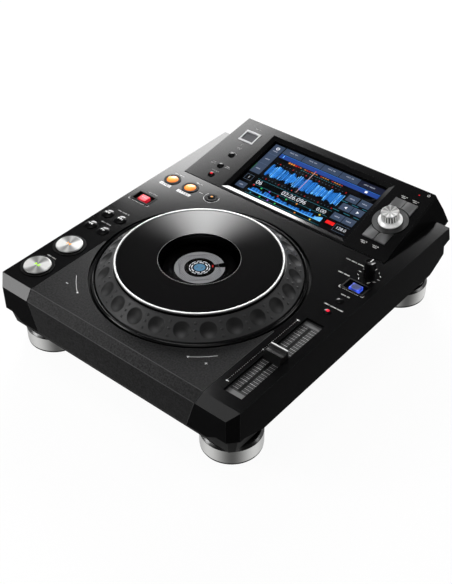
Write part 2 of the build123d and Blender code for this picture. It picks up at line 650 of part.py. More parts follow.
def jog_platter():
    """Touch plate with its skirt and the tube below the window."""
    under = PLATTER_TOP_Z - PLATTER_T
    seat = PLATTER_TOP_Z + TRIM_RISE - TRIM_T
    land = WINDOW_R - WINDOW_LAND
    tube = WINDOW_R + WINDOW_FIT + TUBE_WALL
    window_z = PLATTER_TOP_Z - WINDOW_T
    outer = [(PLATTER_R - TRIM_W, PLATTER_TOP_Z), (PLATTER_R - TRIM_W, seat), (PLATTER_R, seat)]
    skirt = [(PLATTER_R, JOG_LOW_Z), (PLATTER_R - TUBE_WALL, JOG_LOW_Z), (PLATTER_R - TUBE_WALL, under)]
    inner = [(tube, under), (tube, TUBE_LOW_Z), (land, TUBE_LOW_Z), (land, window_z)]
    rebate = [(WINDOW_R + WINDOW_FIT, window_z), (WINDOW_R + WINDOW_FIT, PLATTER_TOP_Z)]
    return Pos(0, JOG_Y, 0) * turned(outer + skirt + inner + rebate)


def jog_trim_ring():
    """Bright ring in the platter's edge."""
    inner, outer = PLATTER_R - TRIM_W + CLEAR / 2, PLATTER_R
    top = PLATTER_TOP_Z + TRIM_RISE
    soft = TRIM_W / 4
    points = [(inner, top - TRIM_T), (outer, top - TRIM_T), (outer, top - soft), (outer - soft, top)]
    return Pos(0, JOG_Y, 0) * turned(points + [(inner + soft, top), (inner, top - soft)])


def jog_window():
    """Clear disc in the middle of the platter."""
    return disc(WINDOW_R, PLATTER_TOP_Z - WINDOW_T, PLATTER_TOP_Z, 0, JOG_Y)


# Display

def hood_solid():
    """Hood's outer shape with the panel still in one piece with it."""
    back = [(HOOD_TOP_Y + out, z) for out, z in HOOD_BACK]
    lean = REAR_LEAN / REAR_DROP
    low_z = back[-1][1] - HOOD_GAP
    wall = [(DECK_D + HOOD_GAP - low_z * lean, low_z), (DECK_D + HOOD_GAP, 0)]
    points = [(DISPLAY_Y, 0), (DISPLAY_Y, PANEL_Z), (HOOD_TOP_Y, HOOD_TOP_Z)] + back + wall
    wedge = side_prism(points, -HALF_W, HALF_W)
    low_x, top_x = HOOD_HALF + FAR * HOOD_LEAN, HOOD_HALF - FAR / 2 * HOOD_LEAN
    sides = front_prism([(-low_x, -FAR), (low_x, -FAR), (top_x, FAR / 2), (-top_x, FAR / 2)], 0, FAR)
    rear = DECK_D - HOOD_REST - HOOD_GAP
    foot = slab(-HOOD_HALF, HOOD_HALF, DISPLAY_Y, rear, -DECK_T, 0)
    return (wedge & sides) + foot


def panel_slab(t0, t1):
    """Slice of space between two depths below the panel's face."""
    return PANEL.location * block((FAR, FAR), -t1, -t0)


def display_housing():
    """Hood's sides and back."""
    back = [(HOOD_TOP_Y + out, z) for out, z in HOOD_BACK]
    lean = REAR_LEAN / REAR_DROP
    rear = DECK_D - HOOD_REST - HOOD_GAP - HOOD_WALL
    low_z = back[-1][1] + HOOD_WALL
    points = [(0, -2 * DECK_T), (0, 2 * HOOD_TOP_Z), (HOOD_TOP_Y - HOOD_WALL, 2 * HOOD_TOP_Z)]
    points += [(HOOD_TOP_Y - HOOD_WALL, HOOD_TOP_Z), (back[0][0] - HOOD_WALL, back[0][1])]
    points += [(back[1][0] - 1.5 * HOOD_WALL, low_z), (DECK_D + HOOD_GAP + HOOD_WALL - low_z * lean, low_z)]
    points += [(DECK_D + HOOD_GAP + HOOD_WALL, HOOD_WALL), (rear, HOOD_WALL), (rear, -2 * DECK_T)]
    hollow = side_prism(points, -HALF_W, HALF_W)
    half = HOOD_HALF - HOOD_WALL
    low_x, top_x = half + FAR * HOOD_LEAN, half - FAR / 2 * HOOD_LEAN
    slant = [(-low_x, -FAR), (low_x, -FAR), (top_x, FAR / 2), (-top_x, FAR / 2)]
    hollow = hollow & front_prism(slant, 0, FAR) & slab(-half, half, 0, FAR, -FAR, FAR)
    return hood_solid() - panel_slab(-FAR, PANEL_T) - hollow


def screen_window():
    """Sloped opening in the panel, with a straight edge next to the glass."""
    slope = BEVEL_W / BEVEL_DROP
    middle = (SCREEN_LOW + SCREEN_HIGH) / 2
    half_s = (SCREEN_HIGH - SCREEN_LOW) / 2
    faces = []
    for depth in (BEVEL_DROP, -OVER):
        grow = slope * (BEVEL_DROP - depth)
        x, s = SCREEN_HALF + grow, half_s + grow
        faces.append(plan_face([(-x, middle - s), (x, middle - s), (x, middle + s), (-x, middle + s)], -depth))
    straight = slab(-SCREEN_HALF, SCREEN_HALF, SCREEN_LOW, SCREEN_HIGH, -PANEL_T - OVER, 0)
    return PANEL.location * (loft(faces, ruled=True) + straight)


def display_panel():
    """Tilted panel with the screen's bevelled frame and its own button holes."""
    panel = (hood_solid() & panel_slab(-FAR, PANEL_T)) - screen_window()
    for x, s in panel_posts():
        panel += PANEL.location * disc(POST_R, -PANEL_BOARD_DEPTH, -PANEL_T, x, s)
    for hole in panel_holes():
        panel -= PANEL.location * hole
    return panel


def screen_plate(t0, t1):
    """Plate behind the panel, a margin larger than the clear screen."""
    x = SCREEN_HALF + GLASS_MARGIN
    plate = slab(-x, x, SCREEN_LOW - GLASS_MARGIN, SCREEN_HIGH + GLASS_MARGIN, -t1, -t0)
    return PANEL.location * plate


def touch_screen():
    """Touch glass."""
    return screen_plate(PANEL_T, PANEL_T + GLASS_T)


def lcd_module():
    """Display module behind the glass."""
    return screen_plate(PANEL_T + GLASS_T, PANEL_T + GLASS_T + LCD_T)


# Push buttons

Button = namedtuple("Button", "name x y spec bezel")
DECK_BUTTONS = [
    Button("play_button", -COLUMN_X, PLAY_Y, BIG, True),
    Button("cue_button", -COLUMN_X, CUE_Y, BIG, True),
    Button("search_back_button", -COLUMN_X - PAIR_HALF, SEARCH_Y, DOME, False),
    Button("search_forward_button", -COLUMN_X + PAIR_HALF, SEARCH_Y, DOME, False),
    Button("track_back_button", -COLUMN_X - PAIR_HALF, TRACK_Y, DOME, False),
    Button("track_forward_button", -COLUMN_X + PAIR_HALF, TRACK_Y, DOME, False),
    Button("loop_in_button", -COLUMN_X, LOOP_Y, LOOP, True),
    Button("loop_out_button", -COLUMN_X + LOOP_STEP, LOOP_Y, LOOP, True),
    Button("reloop_button", -COLUMN_X + RELOOP_STEP, LOOP_Y, SMALL, True),
    Button("tempo_range_button", COLUMN_X, RANGE_Y, SMALL, False),
    Button("master_tempo_button", COLUMN_X, MASTER_Y, SMALL, False),
]
PANEL_BUTTONS = [
    Button("usb_stop_button", SIDE_X, USB_STOP_S, SMALL, False),
    Button("time_mode_button", SIDE_X, TIME_S, SMALL, False),
    Button("quantize_button", SIDE_X, QUANTIZE_S, SMALL, False),
]
TRAY_BUTTONS = [("direction_button", -COLUMN_X, DIRECTION_Y), ("mode_button", COLUMN_X, MODE_Y)]
BROWSE_BUTTONS = [("back_button", -1, 1), ("tag_button", 1, 1), ("link_button", -1, -1), ("menu_button", 1, -1)]


def stem(top, travel, board):
    """Stem from a cap down to just above its switch."""
    return disc(STEM_R, SWITCH_H + travel + CLEAR - board, top)


def round_button(spec, plate, board):
    """Round cap with a retaining flange and a stem."""
    shoulder = -plate - CLEAR
    low = shoulder - FLANGE_T
    if spec is BIG:
        edge = spec.rise / 3
        cap = disc(spec.cap_r, low, spec.rise)
        cap = chamfer(cap.edges().group_by(Axis.Z)[-1], edge)
    else:
        cap = domed(spec.cap_r, low, spec.rise / 3, spec.rise)
    return cap + disc(spec.cap_r + FLANGE_W, low, shoulder) + stem(low, spec.travel, board)


def tray_button():
    """Rectangular lit cap in a tray."""
    shoulder = -TRAY_DEPTH - TRAY_FLOOR - CLEAR
    low = shoulder - FLANGE_T
    cap = block(TRAY_CAP, low, TRAY_CAP_RISE)
    cap = chamfer(cap.edges().group_by(Axis.Z)[-1], TRAY_CAP_RISE / 2)
    flange = block((TRAY_CAP[0] + 2 * FLANGE_W, TRAY_CAP[1] + 2 * FLANGE_W), low, shoulder)
    return cap + flange + stem(low, TRAY_CAP_TRAVEL, BOARD_DEPTH)


def browse_cell(side, end, margin):
    """Outline of one of the four keys round the selector, as a prism through the panel."""
    x0, x1 = BROWSE_SPLIT / 2 - margin, BROWSE_SPLIT / 2 + BROWSE_CELL[0] + margin
    s0, s1 = BROWSE_SPAN - BROWSE_CELL[1] - margin, BROWSE_SPAN + margin
    xs, ss = sorted((side * x0, side * x1)), sorted((end * s0, end * s1))
    cell = slab(*xs, *ss, -PANEL_T - FLANGE_T, BROWSE_RISE)
    cell -= disc(SELECTOR_RING_R + 2 * CLEAR - margin, -FAR, FAR)
    return Pos(SELECTOR_X, SELECTOR_S, 0) * cell


def browse_middle(side, end):
    """Middle of a key, where its stem and switch lie."""
    x = SELECTOR_X + side * (BROWSE_SPLIT + BROWSE_CELL[0]) / 2
    return x, SELECTOR_S + end * (BROWSE_SPAN - BROWSE_CELL[1] / 3)


def browse_button(side, end):
    """One of the four keys round the selector."""
    x, s = browse_middle(side, end)
    leg = Pos(x, s, 0) * stem(-PANEL_T, BROWSE_TRAVEL, PANEL_BOARD_DEPTH)
    return PANEL.location * (browse_cell(side, end, 0) + leg)


def hole_r(button):
    """Radius of a button's hole in its plate."""
    r = button.spec.cap_r + CLEAR
    return r + BEZEL_WALL + BEZEL_FIT if button.bezel else r


def deck_holes():
    """Everything that is cut through the deck's plate for the controls."""
    holes = [disc(hole_r(b), -DECK_T - OVER, OVER, b.x, b.y) for b in DECK_BUTTONS]
    tray = (TRAY[0] + 2 * BEZEL_FIT, TRAY[1] + 2 * BEZEL_FIT)
    holes += [block(tray, -DECK_T - OVER, OVER, x, y) for _, x, y in TRAY_BUTTONS]
    holes.append(block(TEMPO_RECESS, -DECK_T - OVER, OVER, TEMPO_X, TEMPO_Y))
    holes.append(disc(SHAFT_R + CLEAR, -DECK_T - OVER, OVER, COLUMN_X, SPEED_Y))
    return holes


def panel_holes():
    """Everything that is cut through the panel, in the panel's own frame."""
    holes = [disc(hole_r(b), -PANEL_T - OVER, OVER, b.x, b.y) for b in PANEL_BUTTONS]
    holes += [browse_cell(side, end, CLEAR) for _, side, end in BROWSE_BUTTONS]
    pocket = (USB_OPEN[0] + 2 * (USB_SHELL + BEZEL_FIT), USB_OPEN[1] + 2 * (USB_SHELL + BEZEL_FIT))
    holes.append(block(pocket, -PANEL_T - OVER, OVER, USB_X, USB_S))
    holes.append(disc(SHAFT_R + ROTOR_WALL + CLEAR, -PANEL_T - OVER, OVER, SELECTOR_X, SELECTOR_S))
    return holes


def control_bezels():
    """Rings, wells and trays that the deck's buttons sit in, and the selector's ring."""
    bezels = []
    for b in DECK_BUTTONS:
        if b.bezel:
            inner = b.spec.cap_r + CLEAR
            rim = hoop(inner + BEZEL_WALL + BEZEL_RIM, inner, 0, BEZEL_RISE)
            bezels.append(Pos(b.x, b.y, 0) * (rim + hoop(inner + BEZEL_WALL, inner, -DECK_T, 0)))
    for _, x, y in TRAY_BUTTONS:
        low = -TRAY_DEPTH - TRAY_FLOOR
        inside = (TRAY[0] - 2 * TRAY_WALL, TRAY[1] - 2 * TRAY_WALL)
        tray = block(TRAY, low, 0) + block((TRAY[0] + BEZEL_RIM, TRAY[1] + BEZEL_RIM), 0, BEZEL_RISE / 2)
        tray -= block(inside, -TRAY_DEPTH, BEZEL_RISE)
        tray -= block((TRAY_CAP[0] + 2 * CLEAR, TRAY_CAP[1] + 2 * CLEAR), low - OVER, 0)
        bezels.append(Pos(x, y, 0) * tray)
    ring = hoop(SELECTOR_RING_R, SELECTOR_R + CLEAR, 0, SELECTOR_RING_T, SELECTOR_X, SELECTOR_S)
    bezels.append(PANEL.location * ring)
    return group(bezels)


def switch(board):
    """Switch that stands on a board."""
    body = block((SWITCH_W, SWITCH_W), -board, SWITCH_BODY_H - board)
    return body + disc(SWITCH_TIP_R, SWITCH_BODY_H - board, SWITCH_H - board)


def tact_switches():
    """Switch below every button, with the larger one behind the power button."""
    places = [(b.x, b.y) for b in DECK_BUTTONS] + [(x, y) for _, x, y in TRAY_BUTTONS]
    switches = [Pos(x, y, 0) * switch(BOARD_DEPTH) for x, y in places]
    panel_places = [(b.x, b.y) for b in PANEL_BUTTONS]
    panel_places += [browse_middle(side, end) for _, side, end in BROWSE_BUTTONS]
    switches += [PANEL.location * Pos(x, s, 0) * switch(PANEL_BOARD_DEPTH) for x, s in panel_places]
    power = block(POWER_SWITCH, 0, POWER_SWITCH[2]) - disc(STEM_R + CLEAR, 0, FAR)
    power -= disc(POWER_R + CLEAR, POWER_SWITCH[2] - POWER_TRAVEL - CLEAR, FAR)
    switches.append(rear_place(POWER_X) * Pos(0, 0, -JACK_T - POWER_SWITCH[2]) * power)
    return group(switches)


def board_plates():
    """Outlines of the control boards: three under the deck, two behind the panel."""
    edge = WALL + TUB_FIT + CLEAR
    strip = WELL_R + JOG_FLANGE + JOG_TRAY_WALL
    deck = [(-HALF_W + edge, -strip, PILLAR_FRONT + 2 * BOSS_R, DIRECTION_Y + TRAY[1])]
    deck.append((-COLUMN_X - SWITCH_W, -COLUMN_X + RELOOP_STEP + SWITCH_W, LOOP_Y - SWITCH_W, LOOP_Y + SWITCH_W))
    deck.append((strip, HALF_W - edge, MASTER_Y - SWITCH_W, SPEED_Y + POT_W))
    margin = SWITCH_W
    side = (SIDE_X - 2 * margin, SIDE_X + 2 * margin, QUANTIZE_S - margin, USB_STOP_S + margin)
    reach = BROWSE_SPLIT / 2 + BROWSE_CELL[0] + 2 * (POST_R + CLEAR)
    span = BROWSE_SPAN
    right = (SELECTOR_X - reach, SELECTOR_X + reach, SELECTOR_S - span, SELECTOR_S + span)
    return deck, [side, right]


def control_boards():
    """Circuit boards under the deck and behind the panel."""
    deck, panel = board_plates()
    boards = [slab(*plate, -BOARD_DEPTH - BOARD_T, -BOARD_DEPTH) for plate in deck]
    low = -PANEL_BOARD_DEPTH - BOARD_T
    return group(boards + [PANEL.location * slab(*plate, low, -PANEL_BOARD_DEPTH) for plate in panel])


def deck_posts():
    """Posts under the deck that the boards are fixed to, between the buttons' rows."""
    left_ys = ((PLAY_Y + CUE_Y) / 2, (SEARCH_Y + TRACK_Y) / 2, (TRACK_Y + DIRECTION_Y) / 2)
    right_ys = ((MASTER_Y + RANGE_Y) / 2, SPEED_Y)
    near, far = COLUMN_X - TRAY[0] / 2, COLUMN_X + TRAY[0] / 2
    posts = [(-x, y) for x in (near, far) for y in left_ys]
    posts += [(x, y) for x in (near, far) for y in right_ys]
    posts.append((-COLUMN_X + LOOP_STEP / 2, LOOP_Y))
    posts.append((-COLUMN_X + (LOOP_STEP + RELOOP_STEP) / 2, LOOP_Y))
    return posts


def panel_posts():
    """Posts behind the panel that its boards are fixed to."""
    side_ss = ((USB_STOP_S + TIME_S) / 2, (TIME_S + QUANTIZE_S) / 2)
    posts = [(SIDE_X + i * 1.5 * SWITCH_W, s) for i in (-1, 1) for s in side_ss]
    reach = BROWSE_SPLIT / 2 + BROWSE_CELL[0] + POST_R + 3 * CLEAR
    key_s = BROWSE_SPAN - BROWSE_CELL[1] / 2
    return posts + [(SELECTOR_X + i * reach, SELECTOR_S + j * key_s) for i in (-1, 1) for j in (-1, 1)]


# Tempo slider

def tempo_plate():
    """Marked plate at the bottom of the slider's recess, with the lever's slot."""
    size = (TEMPO_RECESS[0] + 2 * TEMPO_MARGIN, TEMPO_RECESS[1] + 2 * TEMPO_MARGIN)
    slot = (TEMPO_LEVER[0] + 2 * CLEAR, TEMPO_TRAVEL + TEMPO_LEVER[1] + 2 * CLEAR)
    plate = block(size, -DECK_T - TEMPO_PLATE_T, -DECK_T, TEMPO_X, TEMPO_Y)
    return plate - block(slot, -FAR, FAR, TEMPO_X, TEMPO_Y)


def slide_potentiometer():
    """Slide control below the plate, with a channel for the moving block."""
    top = -DECK_T - TEMPO_PLATE_T
    channel = (TEMPO_BLOCK[0] + 2 * CLEAR, TEMPO_TRAVEL + TEMPO_BLOCK[1] + 2 * CLEAR)
    size = (channel[0] + 2 * TEMPO_POT_WALL, channel[1] + 2 * TEMPO_POT_WALL)
    body = block(size, top - TEMPO_POT_H, top, TEMPO_X, TEMPO_Y)
    return body - block(channel, top - TEMPO_POT_H + TEMPO_PLATE_T, top, TEMPO_X, TEMPO_Y)


def tempo_carriage():
    """Block and lever that run in the slide control."""
    top = -DECK_T - TEMPO_PLATE_T - CLEAR
    carriage = block(TEMPO_BLOCK, top - TEMPO_BLOCK[2], top, TEMPO_X, TEMPO_Y)
    return carriage + block(TEMPO_LEVER, top, TEMPO_GRIP - DECK_T, TEMPO_X, TEMPO_Y)


def tempo_cap():
    """Saddle-shaped slider cap."""
    half = TEMPO_CAP[1] / 2
    ridge = half - TEMPO_SADDLE / 2
    low = TEMPO_LIFT - DECK_T
    top = TEMPO_CAP_RISE
    sides = Polyline((0, ridge, top), (0, half, low), (0, -half, low), (0, -ridge, top))
    dip = ThreePointArc((0, -ridge, top), (0, 0, top - TEMPO_SADDLE), (0, ridge, top))
    cap = extrude(make_face([*sides.edges(), dip]), TEMPO_CAP[0] / 2, dir=(1, 0, 0), both=True)
    socket = (TEMPO_LEVER[0], TEMPO_LEVER[1])
    cap -= block(socket, low - OVER, TEMPO_GRIP - DECK_T)
    return Pos(TEMPO_X, TEMPO_Y, 0) * cap


# Turning knobs

def speed_knob():
    """Tall knob with its shaft."""
    knob = Pos(0, 0, CLEAR) * Cone(SPEED_R, SPEED_TOP_R, SPEED_RISE - CLEAR, align=BASE)
    return Pos(COLUMN_X, SPEED_Y, 0) * (knob + disc(SHAFT_R, -SPEED_SHAFT, CLEAR))


def speed_pot():
    """Rotary control that stands on the right board and reaches the deck."""
    body = block((POT_W, POT_W), -BOARD_DEPTH, -DECK_T - BUSH_H) + disc(BUSH_R, -DECK_T - BUSH_H, -DECK_T)
    body -= disc(SHAFT_R + SHAFT_FIT, -SPEED_SHAFT - CLEAR, FAR)
    return Pos(COLUMN_X, SPEED_Y, 0) * body


def selector_encoder():
    """Rotary encoder's fixed body behind the panel."""
    bush = BUSH_R + ROTOR_WALL
    body = block((ENCODER_W, ENCODER_W), -PANEL_BOARD_DEPTH, -PANEL_T - BUSH_H)
    body += disc(bush, -PANEL_T - BUSH_H, -PANEL_T)
    body -= disc(SHAFT_R + ROTOR_WALL + SHAFT_FIT, BOARD_T - PANEL_BOARD_DEPTH, FAR)
    return PANEL.location * Pos(SELECTOR_X, SELECTOR_S, 0) * body


def rotary_controls():
    """Fixed bodies behind the two knobs."""
    return group([speed_pot(), selector_encoder()])


def hexagon(r, z0, z1):
    """Six-sided bar."""
    return Pos(0, 0, z0) * extrude(RegularPolygon(r, 6), z1 - z0)


def selector_rotor():
    """Turning sleeve of the encoder; the knob's stem slides in it."""
    low = BOARD_T - PANEL_BOARD_DEPTH + CLEAR
    sleeve = disc(SHAFT_R + ROTOR_WALL, low, 0) - hexagon(STEM_HEX + STEM_FIT, low - OVER, OVER)
    return PANEL.location * Pos(SELECTOR_X, SELECTOR_S, 0) * sleeve


def selector_knob():
    """Large knob that turns and can be pushed."""
    low = SELECTOR_TRAVEL + CLEAR
    height = SELECTOR_RISE - low
    skirt = height / 4
    knob = disc(SELECTOR_R, low, low + skirt)
    knob += Pos(0, 0, low + skirt) * Cone(SELECTOR_R, SELECTOR_TOP_R, height - skirt, align=BASE)
    bar = hexagon(STEM_HEX, BOARD_T - PANEL_BOARD_DEPTH + low + CLEAR, low)
    return PANEL.location * Pos(SELECTOR_X, SELECTOR_S, 0) * (knob + bar)


# USB port

def flap_axis():
    """Hinge line of the flap: distance up the panel and height."""
    return USB_S + USB_OPEN[1] / 2 - CLEAR - FLAP_T / 2, -FLAP_T / 2


def usb_frame():
    """Rim and pocket round the USB port, with holes for the flap's pins."""
    shell = (USB_OPEN[0] + 2 * USB_SHELL, USB_OPEN[1] + 2 * USB_SHELL)
    frame = block(USB_FRAME, 0, USB_RISE) + block(shell, -USB_POCKET - USB_SHELL, 0)
    frame -= block(USB_OPEN, -USB_POCKET, FAR)
    hole = (USB_PLUG[0] + 2 * (USB_METAL + BEZEL_FIT), USB_PLUG[1] + 2 * (USB_METAL + BEZEL_FIT))
    frame -= block(hole, -FAR, 0)
    frame = Pos(USB_X, USB_S, 0) * frame
    axis_s, axis_z = flap_axis()
    reach = USB_OPEN[0] / 2 + FLAP_PIN_L + FLAP_PIN_FIT - CLEAR
    pin = Rot(0, 90, 0) * Cylinder(FLAP_PIN_R + FLAP_PIN_FIT, 2 * reach)
    return PANEL.location * (frame - Pos(USB_X, axis_s, axis_z) * pin)


def usb_flap():
    """Hinged cover over the port."""
    axis_s, axis_z = flap_axis()
    half = USB_OPEN[0] / 2 - CLEAR
    front = USB_S - USB_OPEN[1] / 2 + CLEAR
    leaf = slab(-half, half, front, axis_s, -FLAP_T, 0)
    leaf += Pos(0, axis_s, axis_z) * Rot(0, 90, 0) * Cylinder(FLAP_T / 2, 2 * half)
    leaf += Pos(0, axis_s, axis_z) * Rot(0, 90, 0) * Cylinder(FLAP_PIN_R, 2 * (half + FLAP_PIN_L))
    return PANEL.location * Pos(USB_X, 0, 0) * leaf


def usb_port():
    """USB receptacle with its collar against the pocket's floor."""
    shell = (USB_PLUG[0] + 2 * USB_METAL, USB_PLUG[1] + 2 * USB_METAL)
    collar = (shell[0] + 2 * USB_COLLAR, shell[1] + 2 * USB_COLLAR)
    under = -USB_POCKET - USB_SHELL
    top = -USB_POCKET
    port = block(shell, top - USB_DEEP, top) + block(collar, under - USB_COLLAR / 2, under)
    port -= block(USB_PLUG, top - USB_DEEP + USB_COLLAR, top)
    port += block(USB_TONGUE, top - USB_DEEP, top - USB_METAL)
    return PANEL.location * Pos(USB_X, USB_S, 0) * port


# Rear sockets, modelled with z outwards from the jack plate's face

def rear_place(x):
    """Place on the jack plate, with z pointing backwards and y up."""
    return Pos(x, JACK_Y, -JACK_Z) * Rot(-90, 0, 0) * Rot(0, 0, 180)


def rear_jack_panel():
    """Metal plate with a cut-out for every socket."""
    plate = slab(-JACK_HALF, JACK_HALF, TUB_BACK, JACK_Y, -JACK_LOW, -JACK_TOP)
    cuts = [rear_place(POWER_X) * disc(POWER_R + CLEAR, -FAR, FAR)]
    cuts += [rear_place(x) * disc(RCA_R + JACK_FIT, -FAR, FAR) for x in RCA_X]
    for x, size in ((AC_X, AC_BODY), (LAN_X, LAN_SHELL), (USB_B_X, USB_B_SHELL)):
        cuts.append(rear_place(x) * block((size[0] + 2 * JACK_FIT, size[1] + 2 * JACK_FIT), -FAR, FAR))
    cuts.append(rear_place(LOCK_X) * block(LOCK_SLOT, -FAR, FAR))
    for cut in cuts:
        plate -= cut & slab(-HALF_W, HALF_W, TUB_BACK - OVER, JACK_Y + OVER, -FAR, FAR)
    return plate


def ac_inlet():
    """Two-pin mains inlet with its flange outside the plate."""
    body = block(AC_BODY, -AC_BODY[2], 0) + block(AC_FLANGE, 0, AC_FLANGE[2])
    mouth_z = AC_FLANGE[2] - AC_MOUTH[2]
    ends = AC_MOUTH[1] / 2
    offset = AC_MOUTH[0] / 2 - ends
    mouth = block((2 * offset, AC_MOUTH[1]), mouth_z, FAR)
    mouth += disc(ends, mouth_z, FAR, -offset) + disc(ends, mouth_z, FAR, offset)
    body -= mouth
    for side in (-1, 1):
        body += disc(AC_PIN_R, mouth_z - OVER, AC_FLANGE[2] - AC_PIN_R, side * AC_PIN_SPACING / 2)
    return rear_place(AC_X) * body


def rca_jacks():
    """Audio sockets: a body behind the plate and a barrel with a bore in front of it."""
    jack = block(RCA_BODY, -JACK_T - RCA_BODY[2], -JACK_T) + disc(RCA_R, -JACK_T, RCA_LEN)
    jack += disc(RCA_BASE_R, 0, RCA_BASE_T)
    jack -= disc(RCA_BORE_R, -JACK_T, FAR)
    return group([rear_place(x) * jack for x in RCA_X])


def data_ports():
    """Network socket and square USB socket."""
    lan = block(LAN_SHELL, -LAN_SHELL[2], NOSE) - block(LAN_MOUTH, NOSE - LAN_MOUTH[2], FAR)
    square = block(USB_B_SHELL, -USB_B_SHELL[2], NOSE) - block(USB_B_MOUTH, NOSE - USB_B_MOUTH[2], FAR)
    square += block(USB_B_TONGUE, -USB_B_MOUTH[2], 0)
    return group([rear_place(LAN_X) * lan, rear_place(USB_B_X) * square])


def power_button():
    """Push button at the back."""
    cap = disc(POWER_R, -JACK_T, POWER_RISE)
    cap = chamfer(cap.edges().group_by(Axis.Z)[-1], NOSE)
    reach = -JACK_T - POWER_SWITCH[2] + POWER_TRAVEL + CLEAR
    return rear_place(POWER_X) * (cap + disc(STEM_R, reach, -JACK_T))


# Boards inside

def main_board():
    """Main board with its larger parts."""
    low = FLOOR_Z + STANDOFF_H
    top = low + BOARD_T
    board = block(MAIN_BOARD, low, top, MAIN_X, BOARD_Y)
    for i in (-1, 0, 1):
        chip = MAIN_BOARD[1] / (5 + i)
        board += block((chip, chip), top, top + CHIP_H, MAIN_X + i * MAIN_BOARD[0] / 3, BOARD_Y + i * chip / 2)
    return board


def power_supply():
    """Power supply board with its transformer and capacitors."""
    low = FLOOR_Z + STANDOFF_H
    top = low + BOARD_T
    board = block(SUPPLY, low, top, SUPPLY_X, BOARD_Y)
    core = SUPPLY[0] / 2
    board += block((core, core), top, top + 6 * CHIP_H, SUPPLY_X, BOARD_Y - core / 3)
    for i in (-1, 0, 1):
        board += disc(core / 6, top, top + 5 * CHIP_H, SUPPLY_X + i * core / 2, BOARD_Y + SUPPLY[1] / 3)
    return board


def jog_apron():
    """Textured skin in front of the well, wrapped over the front edge."""
    return apron_skin(0)


PIECES = {
    "bottom_case": bottom_case, "top_deck": top_deck, "jog_apron": jog_apron,
    "display_housing": display_housing, "display_panel": display_panel, "touch_screen": touch_screen,
    "lcd_module": lcd_module, "foot_rings": foot_rings, "foot_pads": foot_pads, "case_screws": case_screws,
    "rear_jack_panel": rear_jack_panel, "ac_inlet": ac_inlet, "rca_jacks": rca_jacks,
    "data_ports": data_ports, "usb_port": usb_port, "usb_frame": usb_frame, "usb_flap": usb_flap,
    "main_board": main_board, "power_supply": power_supply, "control_boards": control_boards,
    "tact_switches": tact_switches, "jog_base": jog_base, "jog_guard_ring": jog_guard_ring,
    "jog_bearing": jog_bearing, "jog_display": jog_display, "jog_hub": jog_hub, "jog_ring": jog_ring,
    "jog_platter": jog_platter, "jog_trim_ring": jog_trim_ring, "jog_window": jog_window,
    "slide_potentiometer": slide_potentiometer, "tempo_plate": tempo_plate,
    "tempo_carriage": tempo_carriage, "tempo_cap": tempo_cap, "rotary_controls": rotary_controls,
    "speed_knob": speed_knob, "selector_rotor": selector_rotor, "selector_knob": selector_knob,
    "control_bezels": control_bezels, "power_button": power_button,
}


def all_pieces():
    """Every piece by name, in the modelling frame."""
    pieces = {name: make() for name, make in PIECES.items()}
    for b in DECK_BUTTONS:
        pieces[b.name] = Pos(b.x, b.y, 0) * round_button(b.spec, DECK_T, BOARD_DEPTH)
    for b in PANEL_BUTTONS:
        pieces[b.name] = PANEL.location * Pos(b.x, b.y, 0) * round_button(b.spec, PANEL_T, PANEL_BOARD_DEPTH)
    for name, x, y in TRAY_BUTTONS:
        pieces[name] = Pos(x, y, 0) * tray_button()
    for name, side, end in BROWSE_BUTTONS:
        pieces[name] = browse_button(side, end)
    return pieces


def main():
    """Write one file per piece."""
    os.makedirs("parts", exist_ok=True)
    for name, shape in all_pieces().items():
        export_step(SEAT * shape, f"parts/{name}.step")


if __name__ == "__main__":
    main()
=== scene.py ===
"""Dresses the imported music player: finishes, printed marks, lit displays and a plain studio.

Lengths on the player are millimetres, and Blender works in metres. Places on the deck are given from the
middle of its front edge, places on the display panel from the middle of its lower edge. Angles are degrees.
"""
import json
import logging
import math
from dataclasses import dataclass
from enum import Enum
from typing import Any, Callable, Dict, List, Optional, Sequence, Tuple, Union

import bmesh
import bpy
from mathutils import Matrix, Vector

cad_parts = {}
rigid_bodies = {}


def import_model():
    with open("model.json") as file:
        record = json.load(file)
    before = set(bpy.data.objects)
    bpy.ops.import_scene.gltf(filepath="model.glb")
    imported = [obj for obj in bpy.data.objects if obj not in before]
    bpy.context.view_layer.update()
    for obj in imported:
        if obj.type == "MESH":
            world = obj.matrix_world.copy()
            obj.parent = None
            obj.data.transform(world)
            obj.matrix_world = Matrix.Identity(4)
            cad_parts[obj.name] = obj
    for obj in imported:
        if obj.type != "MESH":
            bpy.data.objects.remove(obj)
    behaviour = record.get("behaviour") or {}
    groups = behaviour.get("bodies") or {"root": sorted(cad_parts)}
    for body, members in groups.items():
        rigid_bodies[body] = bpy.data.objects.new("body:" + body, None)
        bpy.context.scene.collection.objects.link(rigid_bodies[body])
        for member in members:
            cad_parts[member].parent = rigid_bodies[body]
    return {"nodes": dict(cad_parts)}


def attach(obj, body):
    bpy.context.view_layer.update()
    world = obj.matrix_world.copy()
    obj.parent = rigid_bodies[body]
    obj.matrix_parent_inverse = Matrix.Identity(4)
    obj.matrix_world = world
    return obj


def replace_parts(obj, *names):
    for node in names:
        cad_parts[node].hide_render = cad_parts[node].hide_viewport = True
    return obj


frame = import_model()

Colour = Tuple[float, float, float]
Pair = Tuple[float, float]
Triple = Tuple[float, float, float]
MM = 0.001
INK = 0.04               # thickness of a printed mark
JOIN = 1e-6              # points nearer than this, in metres, are one
FLAT = 0.4               # faces that differ by less than this angle are one
FULL = 2 * math.pi
DIAL_Y = 124.0           # middle of the dial on the deck
SELECTOR = (106.55, 52.5)  # middle of the selector on the panel
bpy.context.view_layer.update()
log = logging.getLogger("player")


